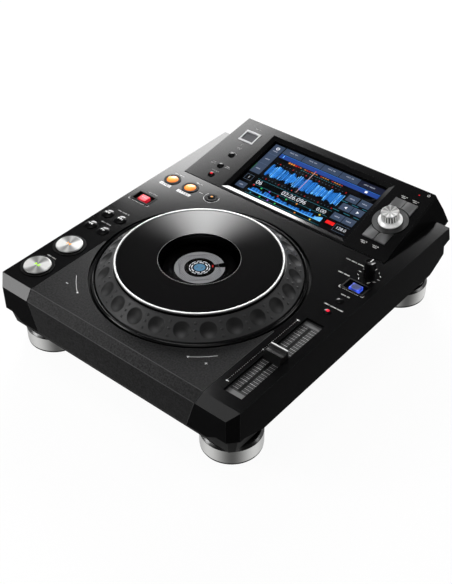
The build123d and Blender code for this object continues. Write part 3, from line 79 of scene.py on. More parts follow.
@dataclass(frozen=True)
class Seat:
    """A flat face of the player: x across it, y up it and z out of it.

    Attributes:
        origin: The face's zero point in the row frame, in metres.
        tilt: The face's lean about x, in radians.
    """

    origin: Triple
    tilt: float = 0.0

    def matrix(self) -> Matrix:
        """Returns the turn and shift from the face to the row frame."""
        return Matrix.Translation(self.origin) @ Matrix.Rotation(self.tilt, 4, "X")

    def point(self, x: float, y: float, z: float = 0.0) -> Vector:
        """Returns a place on the face in the row frame, in metres."""
        return self.matrix() @ (Vector((x, y, z)) * MM)

    def at(self, x: float, y: float, z: float = 0.0) -> "Seat":
        """Returns the same face with its zero point moved to a place on it."""
        return Seat(tuple(self.point(x, y, z)), self.tilt)


DECK = Seat((0.0, -0.182314, 0.083))
PANEL = Seat((0.0, 0.070686, 0.0836), math.radians(12.1))
BACK = Seat((0.0, 0.159684, 0.046), math.radians(-90.0))


class Body(str, Enum):
    """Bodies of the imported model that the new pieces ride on."""

    CASE = "case"
    JOG = "jog"
    TEMPO = "tempo"
    SPEED = "speed"
    SELECTOR = "selector_push"
    PLAY = "play"
    CUE = "cue"
    SEARCH_BACK = "search_back"
    SEARCH_FORWARD = "search_forward"
    TRACK_BACK = "track_back"
    TRACK_FORWARD = "track_forward"
    DIRECTION = "direction"
    RELOOP = "reloop"
    MODE = "mode"
    MASTER_TEMPO = "master_tempo"
    QUANTIZE = "quantize"


def grey(level: float, blue: float = 0.0) -> Colour:
    """Returns a grey with so much more blue in it."""
    return (level, level, level + blue)


def around(r: float, turn: float) -> Pair:
    """Returns the place at a radius and an angle."""
    return r * math.cos(math.radians(turn)), r * math.sin(math.radians(turn))


# Shader tools

class Sock:
    """A shader output that takes part in Python arithmetic through Math nodes."""

    def __init__(self, graph: "Graph", out: bpy.types.NodeSocket) -> None:
        """Keeps the output and the graph that it belongs to."""
        self.graph = graph
        self.out = out

    def math(self, operation: str, *others: "Value", swap: bool = False) -> "Sock":
        """Adds one Math node.

        Args:
            operation: The node's operation.
            others: Further terms.
            swap: Whether the terms change places.

        Returns:
            The node's output.
        """
        terms = [self, *others]
        if swap:
            terms.reverse()
        return self.graph.node("ShaderNodeMath", {"operation": operation}, dict(enumerate(terms)))

    def clamp(self) -> "Sock":
        """Returns the value held between 0 and 1."""
        return self.math("MAXIMUM", 0.0).math("MINIMUM", 1.0)

    def __add__(self, other: "Value") -> "Sock":
        """Returns the sum."""
        return self.math("ADD", other)

    def __sub__(self, other: "Value") -> "Sock":
        """Returns the difference."""
        return self.math("SUBTRACT", other)

    def __rsub__(self, other: "Value") -> "Sock":
        """Returns a number minus this."""
        return self.math("SUBTRACT", other, swap=True)

    def __mul__(self, other: "Value") -> "Sock":
        """Returns the product."""
        return self.math("MULTIPLY", other)

    def __truediv__(self, other: "Value") -> "Sock":
        """Returns the quotient."""
        return self.math("DIVIDE", other)

    def __pow__(self, other: "Value") -> "Sock":
        """Returns the power."""
        return self.math("POWER", other)

    def __gt__(self, other: "Value") -> "Sock":
        """Returns 1 where this is larger."""
        return self.math("GREATER_THAN", other)

    __radd__ = __add__
    __rmul__ = __mul__


Value = Union[Sock, float, Sequence[float]]


class Graph:
    """Node tree of one finish."""

    def __init__(self, name: str) -> None:
        """Starts an empty material.

        Args:
            name: The material's name.
        """
        self.material = bpy.data.materials.new(name)
        self.material.use_nodes = True
        self.tree = self.material.node_tree
        self.tree.nodes.clear()

    def node(self, kind: str, settings: Optional[Dict[str, Any]] = None,
             sockets: Optional[Dict[Union[str, int], Value]] = None, out: Union[str, int] = 0) -> Sock:
        """Adds a node.

        Args:
            kind: The node's type.
            settings: Its own settings, set first.
            sockets: Values or links of its inputs.
            out: Which output to return.

        Returns:
            That output.
        """
        made = self.tree.nodes.new(kind)
        for name, value in (settings or {}).items():
            setattr(made, name, value)
        for key, value in (sockets or {}).items():
            if isinstance(value, Sock):
                self.tree.links.new(value.out, made.inputs[key])
            else:
                made.inputs[key].default_value = value
        return Sock(self, made.outputs[out])

    def place(self, seat: Seat = DECK, x: float = 0.0, y: float = 0.0, stretch: Triple = (1.0, 1.0, 1.0)) -> Sock:
        """Adds Object coordinates in millimetres, centred on a place of a seat.

        Args:
            seat: The face.
            x: The place, across.
            y: The place, along.
            stretch: How much a pattern is drawn out along each axis.

        Returns:
            The coordinates.
        """
        coord = self.node("ShaderNodeTexCoord", out="Object")
        return self.node("ShaderNodeMapping", {"vector_type": "TEXTURE"},
                         {"Vector": coord, "Location": seat.point(x, y), "Rotation": (seat.tilt, 0.0, 0.0),
                          "Scale": [MM * s for s in stretch]})

    def split(self, vector: Sock) -> Tuple[Sock, ...]:
        """Returns the x, y and z parts of a vector."""
        node = self.node("ShaderNodeSeparateXYZ", {}, {"Vector": vector}).out.node
        return tuple(Sock(self, part) for part in node.outputs)

    def facing(self) -> Tuple[Sock, ...]:
        """Returns the x, y and z parts of the surface's normal."""
        return self.split(self.node("ShaderNodeNewGeometry", out="Normal"))

    def polar(self, place: Sock) -> Tuple[Sock, Sock]:
        """Returns the distance from the middle of a place, and the angle round it in radians."""
        x, y, _ = self.split(place)
        return (x * x + y * y) ** 0.5, y.math("ARCTAN2", x)

    def noise(self, place: Sock, scale: float, detail: float = 2.0) -> Sock:
        """Returns noise with that many lumps per millimetre, from 0 to 1."""
        return self.node("ShaderNodeTexNoise", {}, {"Vector": place, "Scale": scale, "Detail": detail})

    def rings(self, radius: Sock, scale: float, detail: float) -> Sock:
        """Returns noise that changes along a radius only, from 0 to 1."""
        return self.node("ShaderNodeTexNoise", {"noise_dimensions": "1D"},
                         {"W": radius, "Scale": scale, "Detail": detail})

    def tint(self, colour: Colour, shade: Sock) -> Sock:
        """Returns a colour that gets lighter or darker with a value."""
        return self.node("ShaderNodeVectorMath", {"operation": "SCALE"}, {0: colour, "Scale": shade})

    def mix(self, share: Sock, first: Colour, second: Colour) -> Sock:
        """Returns a colour between two others."""
        return self.node("ShaderNodeMix", {"data_type": "RGBA"}, {0: share, 6: (*first, 1.0), 7: (*second, 1.0)}, out=2)

    def bump(self, height: Sock, depth: float) -> Sock:
        """Returns a normal from a height, with the relief's depth in millimetres."""
        return self.node("ShaderNodeBump", {}, {"Height": height, "Distance": depth * MM, "Strength": 1.0})

    def surface(self, sockets: Dict[Union[str, int], Value]) -> None:
        """Ends the tree in one Principled shader."""
        self.end(self.node("ShaderNodeBsdfPrincipled", {}, sockets))

    def end(self, shader: Sock) -> None:
        """Links a shader to the material's output."""
        output = self.tree.nodes.new("ShaderNodeOutputMaterial")
        self.tree.links.new(shader.out, output.inputs["Surface"])


class Finish:
    """A finish of the player. Its material is made when a piece first asks for it."""

    name: str

    def build(self, graph: Graph) -> None:
        """Fills the node tree."""
        raise NotImplementedError

    def material(self) -> bpy.types.Material:
        """Finds the finish's material, or makes it.

        Returns:
            The material.
        """
        found = bpy.data.materials.get("finish_" + self.name)
        if found is None:
            graph = Graph("finish_" + self.name)
            self.build(graph)
            found = graph.material
        return found


@dataclass(frozen=True)
class Moulding(Finish):
    """Moulded or painted surface with a fine grain, faint clouds and handling marks.

    Where it is polished, its upper faces have a clear coat, apart from edges that lean to the left.
    """

    name: str
    colour: Colour
    roughness: float
    grain: float = 0.5
    depth: float = 0.002
    clouds: float = 0.15
    marks: float = 0.06
    speckle: float = 0.0
    specular: float = 0.5
    polish: float = 0.0
    level: float = 0.35
    lean: float = 0.2

    def build(self, graph: Graph) -> None:
        """Fills the node tree.

        Args:
            graph: The tree.
        """
        place = graph.place()
        grain = graph.noise(place, 1.0 / self.grain)
        cloud = graph.noise(place, 0.025, 3.0)
        marks = graph.noise(graph.place(stretch=(1.0, 4.0, 2.0)), 0.12, 4.0)
        spots = 1.0 + (grain - 0.5) * (2 * self.speckle)
        sockets = {
            "Base Color": graph.tint(self.colour, spots + (cloud - 0.5) * (2 * self.clouds)),
            "Roughness": self.roughness + (marks - 0.5) * (2 * self.marks),
            "Normal": graph.bump(grain, self.depth), "Specular IOR Level": self.specular}
        if self.polish > 0.0:
            across, along, upward = graph.facing()
            aside = (across > -self.lean).math("MAXIMUM", (along * -1.0) > self.lean)
            sockets["Coat Weight"] = (upward > self.level) * aside * spots * self.polish
            sockets["Coat Roughness"] = self.roughness
        graph.surface(sockets)


@dataclass(frozen=True)
class DimpledSatin(Finish):
    """Satin plastic of the dial's slope: finger dimples with painted shade in their upper part and a painted pool of
    light low down.
    """

    name: str
    colour: Colour
    roughness: float
    middle_r: float
    half: Pair
    count: int
    first: float
    # depth of the painted shade in a dimple, then strength and place of the painted light low down in it
    least: float = 0.22
    painted_light: float = 1.15
    painted_light_at: float = 0.5
    crisp: float = 6.0

    def build(self, graph: Graph) -> None:
        """Fills the node tree.

        Args:
            graph: The tree.
        """
        place = graph.place(DECK, 0.0, DIAL_Y)
        radius, angle = graph.polar(place)
        turn = (angle - math.radians(self.first)) * (self.count / FULL)
        aside = (turn - turn.math("ROUND")) * radius * (FULL / self.count / self.half[0])
        rise = (radius - self.middle_r) / self.half[1]
        # painted shade fills the upper part of each dimple, and a painted pool of light sits low down in it
        inside = ((1.0 - (aside * aside + rise * rise)) * self.crisp).clamp()
        down = rise - self.painted_light_at
        painted_light = (1.0 - (aside * aside + down * down)).math("MAXIMUM", 0.0) ** 3.0
        grain = graph.noise(place, 2.0)
        shade = 1.0 + inside * (painted_light * self.painted_light - (1.0 - self.least)) + 0.2 * (grain - 0.5)
        graph.surface({
            "Base Color": graph.tint(self.colour, shade), "Roughness": self.roughness + 0.12 * inside,
            "Normal": graph.bump(grain, 0.002), "Specular IOR Level": 0.13})


@dataclass(frozen=True)
class CrownedRing(Finish):
    """Bright ring: a light crown whose colour also stands in for its reflection, and walls darkened as painted shade.
    """

    name: str
    crown: Colour
    wall_shade: Colour
    roughness: float
    level: float = 0.6

    def build(self, graph: Graph) -> None:
        """Fills the node tree.

        Args:
            graph: The tree.
        """
        # upward faces get the light crown colour, partly a painted reflection; steeper walls get painted shade
        crest = ((graph.facing()[2] - self.level) * 4.0).clamp()
        grain = graph.noise(graph.place(), 1.25)
        graph.surface({
            "Base Color": graph.mix(crest, self.wall_shade, self.crown), "Metallic": 0.25 * crest,
            "Roughness": self.roughness + 0.12 * (grain - 0.5), "Normal": graph.bump(grain, 0.002)})


@dataclass(frozen=True)
class BrushedMetal(Finish):
    """Metal with fine lines that run along its long stretch."""

    name: str
    colour: Colour
    roughness: float
    stretch: Triple
    metallic: float = 1.0

    def build(self, graph: Graph) -> None:
        """Fills the node tree.

        Args:
            graph: The tree.
        """
        lines = graph.noise(graph.place(stretch=self.stretch), 3.0, 3.0)
        cloud = graph.noise(graph.place(), 0.05)
        graph.surface({
            "Base Color": graph.tint(self.colour, 0.9 + 0.1 * lines + 0.06 * cloud),
            "Roughness": self.roughness + (lines - 0.5) * 0.12,
            "Normal": graph.bump(lines, 0.004), "Metallic": self.metallic})


@dataclass(frozen=True)
class SpunMetal(Finish):
    """Metal face turned on a lathe: rings round its middle, and bright fans across it painted into its colour as
    painted reflections.
    """

    name: str
    colour: Colour
    roughness: float
    seat: Seat
    middle: Pair
    painted_fans: float
    turn: float
    metallic: float
    spokes: int = 6
    fine: float = 0.28

    def build(self, graph: Graph) -> None:
        """Fills the node tree.

        Args:
            graph: The tree.
        """
        radius, angle = graph.polar(graph.place(self.seat, *self.middle))
        # painted reflections: bright fans round the middle, drawn into the base colour
        wide = (angle * 2.0 + self.turn).math("SINE") * 0.5 + 0.5
        fine = ((angle * float(self.spokes) + (self.turn + 1.0)).math("SINE") * 0.5 + 0.5) ** 2.0
        rings = graph.rings(radius, 5.0, 2.0)
        painted_fan = (1.0 - self.fine) * wide * wide + self.fine * fine
        graph.surface({
            "Base Color": graph.tint(self.colour, (1.0 - self.painted_fans) + self.painted_fans * painted_fan + 0.12 * (rings - 0.5)),
            "Roughness": self.roughness + (rings - 0.5) * 0.15,
            "Normal": graph.bump(rings, 0.006), "Metallic": self.metallic})


@dataclass(frozen=True)
class SpunGloss(Finish):
    """Black lacquer polished on a lathe: faint rings, a coat laid on only in one broad fan as a painted highlight, and
    a lip lightened in colour as a painted highlight.
    """

    name: str
    colour: Colour
    roughness: float
    turn: float
    hole_r: float
    lip_width: float = 0.2
    least: float = 0.02

    def build(self, graph: Graph) -> None:
        """Fills the node tree.

        Args:
            graph: The tree.
        """
        radius, angle = graph.polar(graph.place(DECK, 0.0, DIAL_Y))
        # painted highlights: the coat follows one broad fan to one side, and upward faces at the hole's lip are
        # lightened in colour
        fan_highlight = (angle - self.turn).math("COSINE").math("MAXIMUM", 0.0)
        near = self.lip_width - (radius - self.hole_r).math("ABSOLUTE") > 0.0
        lip_highlight = (graph.facing()[2] > 0.25) * near
        rings = graph.rings(radius, 0.8, 3.0)
        graph.surface({
            "Base Color": graph.tint(self.colour, 0.8 + 0.4 * rings + 30.0 * lip_highlight),
            "Roughness": self.roughness + 0.1 * rings, "Specular IOR Level": 0.0,
            "Coat Weight": (self.least + (1.0 - self.least) * fan_highlight ** 6.0).math("MAXIMUM", lip_highlight),
            "Coat Roughness": self.roughness, "Coat IOR": 1.52})


@dataclass(frozen=True)
class TurnedFoot(Finish):
    """Polished foot band: dark and bright bands of painted reflection round each of the four feet, and fine turning
    lines; its upward faces are dark and not metallic.
    """

    name: str
    colour: Colour
    roughness: float
    x: float
    front_y: float
    back_y: float

    def build(self, graph: Graph) -> None:
        """Fills the node tree.

        Args:
            graph: The tree.
        """
        middle, half = (self.front_y + self.back_y) / 2, (self.back_y - self.front_y) / 2
        across, along, _ = (part.math("ABSOLUTE") for part in graph.split(graph.place(DECK, 0.0, middle)))
        angle = (along - half).math("ARCTAN2", across - self.x)
        # painted reflections: dark and bright bands drawn round each foot
        reflection_bands = (angle * 4.0 - math.radians(200.0)).math("COSINE") * -0.5 + 0.5
        lines = graph.noise(graph.place(stretch=(40.0, 40.0, 1.0)), 3.0, 3.0)
        # upward faces are made dark and not metallic
        not_upward = 1.0 - (graph.facing()[2] > 0.4)
        shade = (0.16 + 0.84 * reflection_bands + 0.1 * (lines - 0.5)) * (0.02 + 0.98 * not_upward)
        graph.surface({
            "Base Color": graph.tint(self.colour, shade), "Roughness": self.roughness + (lines - 0.5) * 0.1,
            "Normal": graph.bump(lines, 0.004), "Metallic": not_upward})


@dataclass(frozen=True)
class Lamp(Finish):
    """Lit translucent cap on the deck, brighter towards its middle."""

    name: str
    middle: Colour
    rim: Colour
    x: float
    y: float
    radius: float
    glow: float
    power: float = 2.0

    def build(self, graph: Graph) -> None:
        """Fills the node tree.

        Args:
            graph: The tree.
        """
        place = graph.place(DECK, self.x, self.y)
        away = graph.node("ShaderNodeVectorMath", {"operation": "LENGTH"}, {0: place}, out="Value")
        cloud = graph.noise(place, 0.4)
        share = ((away / self.radius) ** self.power + (cloud - 0.5) * 0.2).math("MINIMUM", 1.0)
        colour = graph.mix(share, self.middle, self.rim)
        graph.surface({"Base Color": colour, "Emission Color": colour, "Emission Strength": self.glow,
                       "Roughness": 0.3 + cloud * 0.1, "Specular IOR Level": 0.12})


@dataclass(frozen=True)
class Ink(Finish):
    """Screen-printed paint, slightly uneven."""

    name: str
    colour: Colour
    roughness: float = 0.55

    def build(self, graph: Graph) -> None:
        """Fills the node tree.

        Args:
            graph: The tree.
        """
        grain = graph.noise(graph.place(), 4.0, 3.0)
        graph.surface({"Base Color": graph.tint(self.colour, 0.9 + 0.2 * grain),
                       "Roughness": self.roughness + (grain - 0.5) * 0.1, "Normal": graph.bump(grain, 0.002)})


@dataclass(frozen=True)
class Pixels(Finish):
    """Lit area of a display, with its pixel rows."""

    name: str
    colour: Colour
    glow: float = 1.0
    seat: Seat = PANEL
    rows: float = 0.16
    pitch: float = 0.22
    gap: float = 0.12

    def build(self, graph: Graph) -> None:
        """Fills the node tree.

        Args:
            graph: The tree.
        """
        place = graph.place(self.seat)
        across, along, _ = ((part / self.pitch).math("FRACT") > self.gap for part in graph.split(place))
        cloud = graph.noise(place, 0.06)
        shade = (1.0 - self.rows) + self.rows * (across * along) + (cloud - 0.5) * 0.12
        graph.surface({"Base Color": (*[0.2 * c for c in self.colour], 1.0),
                       "Emission Color": graph.tint(self.colour, shade), "Emission Strength": self.glow,
                       "Roughness": 0.35 + 0.05 * cloud, "Specular IOR Level": 0.02})


@dataclass(frozen=True)
class ClearSheet(Finish):
    """Clear coated glass or acrylic with faint finger marks."""

    name: str
    colour: Colour = (0.92, 0.94, 0.95)
    ior: float = 1.02

    def build(self, graph: Graph) -> None:
        """Fills the node tree.

        Args:
            graph: The tree.
        """
        smears = graph.noise(graph.place(stretch=(3.0, 1.0, 1.0)), 0.06, 4.0)
        graph.surface({"Base Color": (*self.colour, 1.0), "Roughness": (smears - 0.45).math("MAXIMUM", 0.0) * 0.06,
                       "Transmission Weight": 1.0, "IOR": self.ior})


@dataclass(frozen=True)
class CircuitBoard(Finish):
    """Green board with copper tracks under the lacquer."""

    name: str
    colour: Colour = (0.02, 0.11, 0.05)
    track: float = 2.2

    def build(self, graph: Graph) -> None:
        """Fills the node tree.

        Args:
            graph: The tree.
        """
        place = graph.place()
        tracks = graph.node("ShaderNodeTexBrick", {"offset": 0.37, "squash": 1.4},
                            {"Vector": place, "Scale": 0.12, "Mortar Size": 0.03, "Color1": (0.0, 0.0, 0.0, 1.0),
                             "Color2": (0.1, 0.1, 0.1, 1.0), "Mortar": (1.0, 1.0, 1.0, 1.0)}, out="Fac")
        colour = graph.mix(tracks, self.colour, tuple(self.track * c for c in self.colour))
        graph.surface({"Base Color": colour, "Roughness": 0.4 + graph.noise(place, 0.3) * 0.1,
                       "Normal": graph.bump(tracks, 0.03)})


GLOSS = Moulding("deck_gloss", grey(0.0032, 0.0002), 0.125, 0.7, 0.0006, marks=0.04, specular=0.003, polish=0.3)
HOOD_GLOSS = Moulding("hood_gloss", grey(0.0036, 0.0002), 0.14, 0.7, 0.0006, marks=0.03, specular=0.003, polish=0.3)
PANEL_GLOSS = Moulding("panel_gloss", grey(0.0036, 0.0002), 0.12, 0.7, 0.0004, marks=0.03, specular=0.007, polish=0.6)
# rounded edges are lighter in colour than their faces, as painted highlights
DECK_EDGE_HIGHLIGHT = Moulding("deck_edge", grey(0.03, 0.0005), 0.5, 0.7, 0.001, specular=0.0)
APRON_EDGE_HIGHLIGHT = Moulding("apron_edge", grey(0.06, 0.001), 0.5, 0.7, 0.001, specular=0.0)
PANEL_EDGE_HIGHLIGHT = Moulding("panel_edge", grey(0.12, 0.001), 0.5, 0.7, 0.001, specular=0.0)
APRON = Moulding("apron_texture", grey(0.009, 0.0003), 0.42, 1.7, 0.13, speckle=1.5, specular=0.025, polish=0.088)
POWDER = Moulding("case_powder_coat", grey(0.006), 0.55, 0.6, 0.03, speckle=0.15, specular=0.04)
RUBBER = Moulding("foot_rubber", grey(0.016), 0.75, 0.3, 0.02, speckle=0.2, specular=0.25)
SATIN = Moulding("dial_satin", grey(0.036, 0.0005), 0.4, specular=0.13)
PLATTER = SpunGloss("platter_gloss", grey(0.0022, 0.0001), 0.29, math.radians(126.0), 41.17)
DARK = Moulding("well_black", grey(0.0022), 0.45, depth=0.004, specular=0.03)
KNOB = Moulding("knob_black", grey(0.006, 0.0002), 0.3, 0.4, 0.004, specular=0.25)
DOME = Moulding("dome_black", grey(0.004, 0.0002), 0.18, 0.4, 0.001, specular=0.035)
SOCKET = Moulding("socket_black", grey(0.014), 0.42, 0.4, 0.01, specular=0.4)
# the keys and the selector's ring face carry painted reflections in bright fans
KEY = SpunMetal("key_grey", grey(0.092, 0.0025), 0.4, PANEL, SELECTOR, 0.95, 5.4, 0.2, 9, 0.7)
SLEEVE = SpunMetal("selector_ring_spun", grey(0.034, 0.001), 0.4, PANEL, SELECTOR, 0.85, 0.175, 0.2)
FLAP = Moulding("flap_grey", (0.03, 0.031, 0.037), 0.35, depth=0.003, specular=0.2)
FRAME = Moulding("frame_light", grey(0.55, 0.01), 0.4, depth=0.003, specular=0.3)
TRIM = CrownedRing("trim_bright", grey(0.62, -0.005), grey(0.05), 0.3)
PLATE = Moulding("slider_plate", grey(0.016, 0.0005), 0.5, 0.4, 0.006, specular=0.1)
FOOT = TurnedFoot("foot_turned", grey(0.56, -0.01), 0.22, 118.5, 30.2, 316.0)
STEEL = BrushedMetal("screw_steel", grey(0.25, 0.01), 0.32, (1.0, 1.0, 1.0))
NICKEL = BrushedMetal("socket_nickel", (0.62, 0.61, 0.58), 0.24, (1.0, 12.0, 1.0))
SILVER = BrushedMetal("knob_silver", grey(0.95, -0.01), 0.36, (1.0, 1.0, 12.0), 0.12)
WHITE = Ink("print_white", grey(0.62))
GREY = Ink("print_grey", grey(0.3, 0.005))
FAINT = Ink("print_faint", grey(0.06, 0.002))
LINE = Ink("print_line", grey(0.46, 0.005))
GLASS = ClearSheet("screen_glass")
WINDOW = ClearSheet("window_smoked", grey(0.5, 0.01))
BOARD = CircuitBoard("circuit_board")


# Modelling tools

def deselect() -> None:
    """Leaves nothing selected."""
    bpy.ops.object.select_all(action="DESELECT")


def dress(node: str, finish: Finish, edge: float = 0.0, fine: float = 30.0, rim: Optional[Finish] = None) -> None:
    """Gives a CAD node its finish, smooth curves and softened edges.

    Args:
        node: The node's name.
        finish: What it is made of.
        edge: Width of its rounded edges, or 0 for plain edges.
        fine: Smallest angle that counts as an edge.
        rim: Finish of the rounded edges, lighter in colour as a painted highlight along them.
    """
    obj = frame["nodes"][node]
    mesh = obj.data
    mesh.materials.clear()
    mesh.materials.append(finish.material())
    for name in ("custom_normal", "sharp_face", "sharp_edge"):
        if name in mesh.attributes:
            mesh.attributes.remove(mesh.attributes[name])
    obj.modifiers.new("join", "WELD").merge_threshold = JOIN
    flat = obj.modifiers.new("faces", "DECIMATE")
    flat.decimate_type = "DISSOLVE"
    flat.angle_limit = math.radians(FLAT)
    if edge > 0.0:
        bevel = obj.modifiers.new("edges", "BEVEL")
        bevel.width = edge * MM
        bevel.segments = 2
        bevel.limit_method = "ANGLE"
        bevel.angle_limit = math.radians(fine)
        bevel.miter_outer = "MITER_ARC"
        if rim is not None:
            mesh.materials.append(rim.material())
            bevel.material = 1
    else:
        obj.modifiers.new("edges", "EDGE_SPLIT").split_angle = math.radians(fine)
    obj.modifiers.new("shading", "WEIGHTED_NORMAL").keep_sharp = True
    log.info("dressed %s in %s", node, finish.name)


class Workpiece:
    """One mesh, modelled in millimetres on a seat with Blender's own edit tools."""

    def __init__(self, name: str, seat: Seat, finishes: Sequence[Finish]) -> None:
        """Starts an empty mesh in edit mode.

        Args:
            name: The piece's name.
            seat: The face that it lies on.
            finishes: Its finishes, in slot order.
        """
        deselect()
        bpy.ops.object.add(type="MESH", location=(0.0, 0.0, 0.0))
        self.obj = bpy.context.object
        self.obj.name = name
        self.obj.data.name = name
        self.seat = seat
        for finish in finishes:
            self.obj.data.materials.append(finish.material())
        bpy.ops.object.mode_set(mode="EDIT")

    def paint(self, slot: int) -> None:
        """Gives the selected faces the finish in a slot."""
        self.obj.active_material_index = slot
        bpy.ops.object.material_slot_assign()

    def raise_up(self, height: float) -> None:
        """Extrudes what is selected along z."""
        bpy.ops.mesh.extrude_region_move(TRANSFORM_OT_translate={"value": (0.0, 0.0, height * MM)})

    def bar(self, x: float, y: float, width: float, length: float, slot: int = 0, turn: float = 0.0,
            low: float = 0.0, high: float = INK) -> None:
        """Adds a flat bar.

        Args:
            x: Middle, across.
            y: Middle, along.
            width: Size across.
            length: Size along.
            slot: Its finish.
            turn: Turn in its plane.
            low: Height of its underside.
            high: Height of its top.
        """
        bpy.ops.mesh.select_all(action="DESELECT")
        middle = Vector((x, y, low)) * MM
        bpy.ops.mesh.primitive_plane_add(size=MM, location=middle, rotation=(0.0, 0.0, math.radians(turn)))
        lean = Matrix.Rotation(math.radians(turn), 3, "Z")
        bpy.ops.transform.resize(value=(width, length, 1.0), orient_type="GLOBAL", orient_matrix=lean.transposed(),
                                 orient_matrix_type="GLOBAL", center_override=middle)
        self.paint(slot)
        if high > low:
            self.raise_up(high - low)

    def dot(self, x: float, y: float, r: float, slot: int = 0, low: float = 0.0, high: float = INK,
            sides: int = 20, turn: float = 0.0) -> None:
        """Adds a flat disc, or a triangle or other regular shape if it has few sides.

        Args:
            x: Middle, across.
            y: Middle, along.
            r: Its radius.
            slot: Its finish.
            low: Height of its underside.
            high: Height of its top.
            sides: Number of its sides.
            turn: Turn in its plane.
        """
        bpy.ops.mesh.select_all(action="DESELECT")
        bpy.ops.mesh.primitive_circle_add(vertices=sides, radius=r * MM, fill_type="NGON",
                                          location=Vector((x, y, low)) * MM, rotation=(0.0, 0.0, math.radians(turn)))
        self.paint(slot)
        if high > low:
            self.raise_up(high - low)

    def words(self, x: float, y: float, width: float, slot: int = 0, size: float = 1.5, low: float = 0.0) -> None:
        """Adds a row of plain upright ticks in the place of a label, with a gap after every few.

        Args:
            x: Middle, across.
            y: Middle, along.
            width: Length of the row.
            slot: Its finish.
            size: Height of a tick.
            low: Height of its underside.
        """
        pitch = 0.75 * size
        for k in range(int(width / pitch)):
            if k % 7 != 5:
                self.bar(x - width / 2 + (k + 0.5) * pitch, y, 0.4 * size, size * (1.0 if k % 3 else 0.7), slot,
                         low=low, high=low + INK)

    def lathe(self, profile: Sequence[Pair], x: float = 0.0, y: float = 0.0, slot: int = 0,
              steps: int = 64, start: float = 0.0, sweep: float = 360.0, close: bool = False) -> None:
        """Draws a profile of (radius, height) points as extruded edges and spins it.

        Args:
            profile: The points, in order.
            x: Axis, across.
            y: Axis, along.
            slot: Its finish.
            steps: Number of steps of the spin.
            start: Angle of the profile.
            sweep: Angle of the spin.
            close: Whether the profile is a closed face, as for a ring or an arc.
        """
        bpy.ops.mesh.select_all(action="DESELECT")
        out = Vector((*around(1.0, start), 0.0))
        points = [(Vector((x, y, z)) + out * r) * MM for r, z in profile]
        bpy.ops.mesh.primitive_plane_add(size=MM, location=points[0])
        bpy.ops.mesh.merge(type="CENTER")
        for here, there in zip(points, points[1:]):
            bpy.ops.mesh.extrude_region_move(TRANSFORM_OT_translate={"value": there - here})
        bpy.ops.mesh.select_linked()
        if close:
            bpy.ops.mesh.edge_face_add()
            self.paint(slot)
        bpy.ops.mesh.spin(steps=steps, dupli=False, angle=-math.radians(sweep), use_auto_merge=True,
                          center=Vector((x, y, 0.0)) * MM, axis=(0.0, 0.0, 1.0))
        bpy.ops.mesh.select_linked()
        bpy.ops.mesh.remove_doubles(threshold=0.1 * JOIN)
        self.paint(slot)

    def arc(self, x: float, y: float, inner: float, outer: float, start: float, sweep: float, slot: int = 0,
            low: float = 0.0, high: float = INK) -> None:
        """Adds a flat arc or ring.

        Args:
            x: Middle, across.
            y: Middle, along.
            inner: Inner radius.
            outer: Outer radius.
            start: Angle of its first end.
            sweep: Angle that it takes.
            slot: Its finish.
            low: Height of its underside.
            high: Height of its top.
        """
        profile = [(inner, low), (inner, high), (outer, high), (outer, low)]
        self.lathe(profile, x, y, slot, max(3, int(abs(sweep) / 5.0)), start, sweep, close=True)

    def drape(self, node: str) -> None:
        """Lays flat shapes that hang over a node onto its surface, as a thin coat of paint.

        Args:
            node: The node's name.
        """
        bpy.ops.mesh.select_all(action="SELECT")
        bpy.ops.mesh.quads_convert_to_tris()
        bpy.ops.mesh.subdivide(number_cuts=4)
        bpy.ops.object.mode_set(mode="OBJECT")
        self.obj.matrix_world = self.seat.matrix()
        wrap = self.obj.modifiers.new("wrap", "SHRINKWRAP")
        wrap.target = frame["nodes"][node]
        wrap.wrap_method = "PROJECT"
        wrap.use_project_z = True
        wrap.use_negative_direction = True
        wrap.use_positive_direction = False
        wrap.offset = INK * MM
        coat = self.obj.modifiers.new("coat", "SOLIDIFY")
        coat.thickness = INK * MM
        coat.offset = 0.0
        for name in ("wrap", "coat"):
            bpy.ops.object.modifier_apply(modifier=name)
        bpy.ops.object.mode_set(mode="EDIT")

    def join(self) -> None:
        """Merges points that meet, and turns all faces outwards."""
        bpy.ops.mesh.select_all(action="SELECT")
        bpy.ops.mesh.remove_doubles(threshold=JOIN)
        bpy.ops.mesh.normals_make_consistent(inside=False)

    def sink(self, test: Callable[[bmesh.types.BMFace], bool], depth: float, slot: int = 0) -> None:
        """Sinks the faces that pass a test.

        Args:
            test: Tells whether a face sinks.
            depth: How deep it goes.
            slot: The finish that it gets.
        """
        bpy.ops.mesh.select_all(action="DESELECT")
        for face in bmesh.from_edit_mesh(self.obj.data).faces:
            if test(face):
                face.select_set(True)
        bmesh.update_edit_mesh(self.obj.data)
        self.paint(slot)
        bpy.ops.mesh.extrude_region_move()
        bpy.ops.transform.shrink_fatten(value=-depth * MM)

    def finish(self, body: Body, slot: str, smooth: float = 30.0) -> bpy.types.Object:
        """Closes the mesh, puts it in place and lets it ride on a body.

        Args:
            body: The body that it moves with.
            slot: The record's material slot; not used.
            smooth: Angle below which faces are shaded as one.

        Returns:
            The finished piece.
        """
        bpy.ops.mesh.select_all(action="SELECT")
        bpy.ops.mesh.normals_make_consistent(inside=False)
        bpy.ops.object.mode_set(mode="OBJECT")
        self.obj.matrix_world = self.seat.matrix()
        bpy.ops.object.transform_apply(location=True, rotation=True, scale=True)
        bpy.ops.object.shade_smooth_by_angle(angle=math.radians(smooth))
        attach(self.obj, body.value)
        log.info("modelled %s, %d faces", self.obj.name, len(self.obj.data.polygons))
        return self.obj


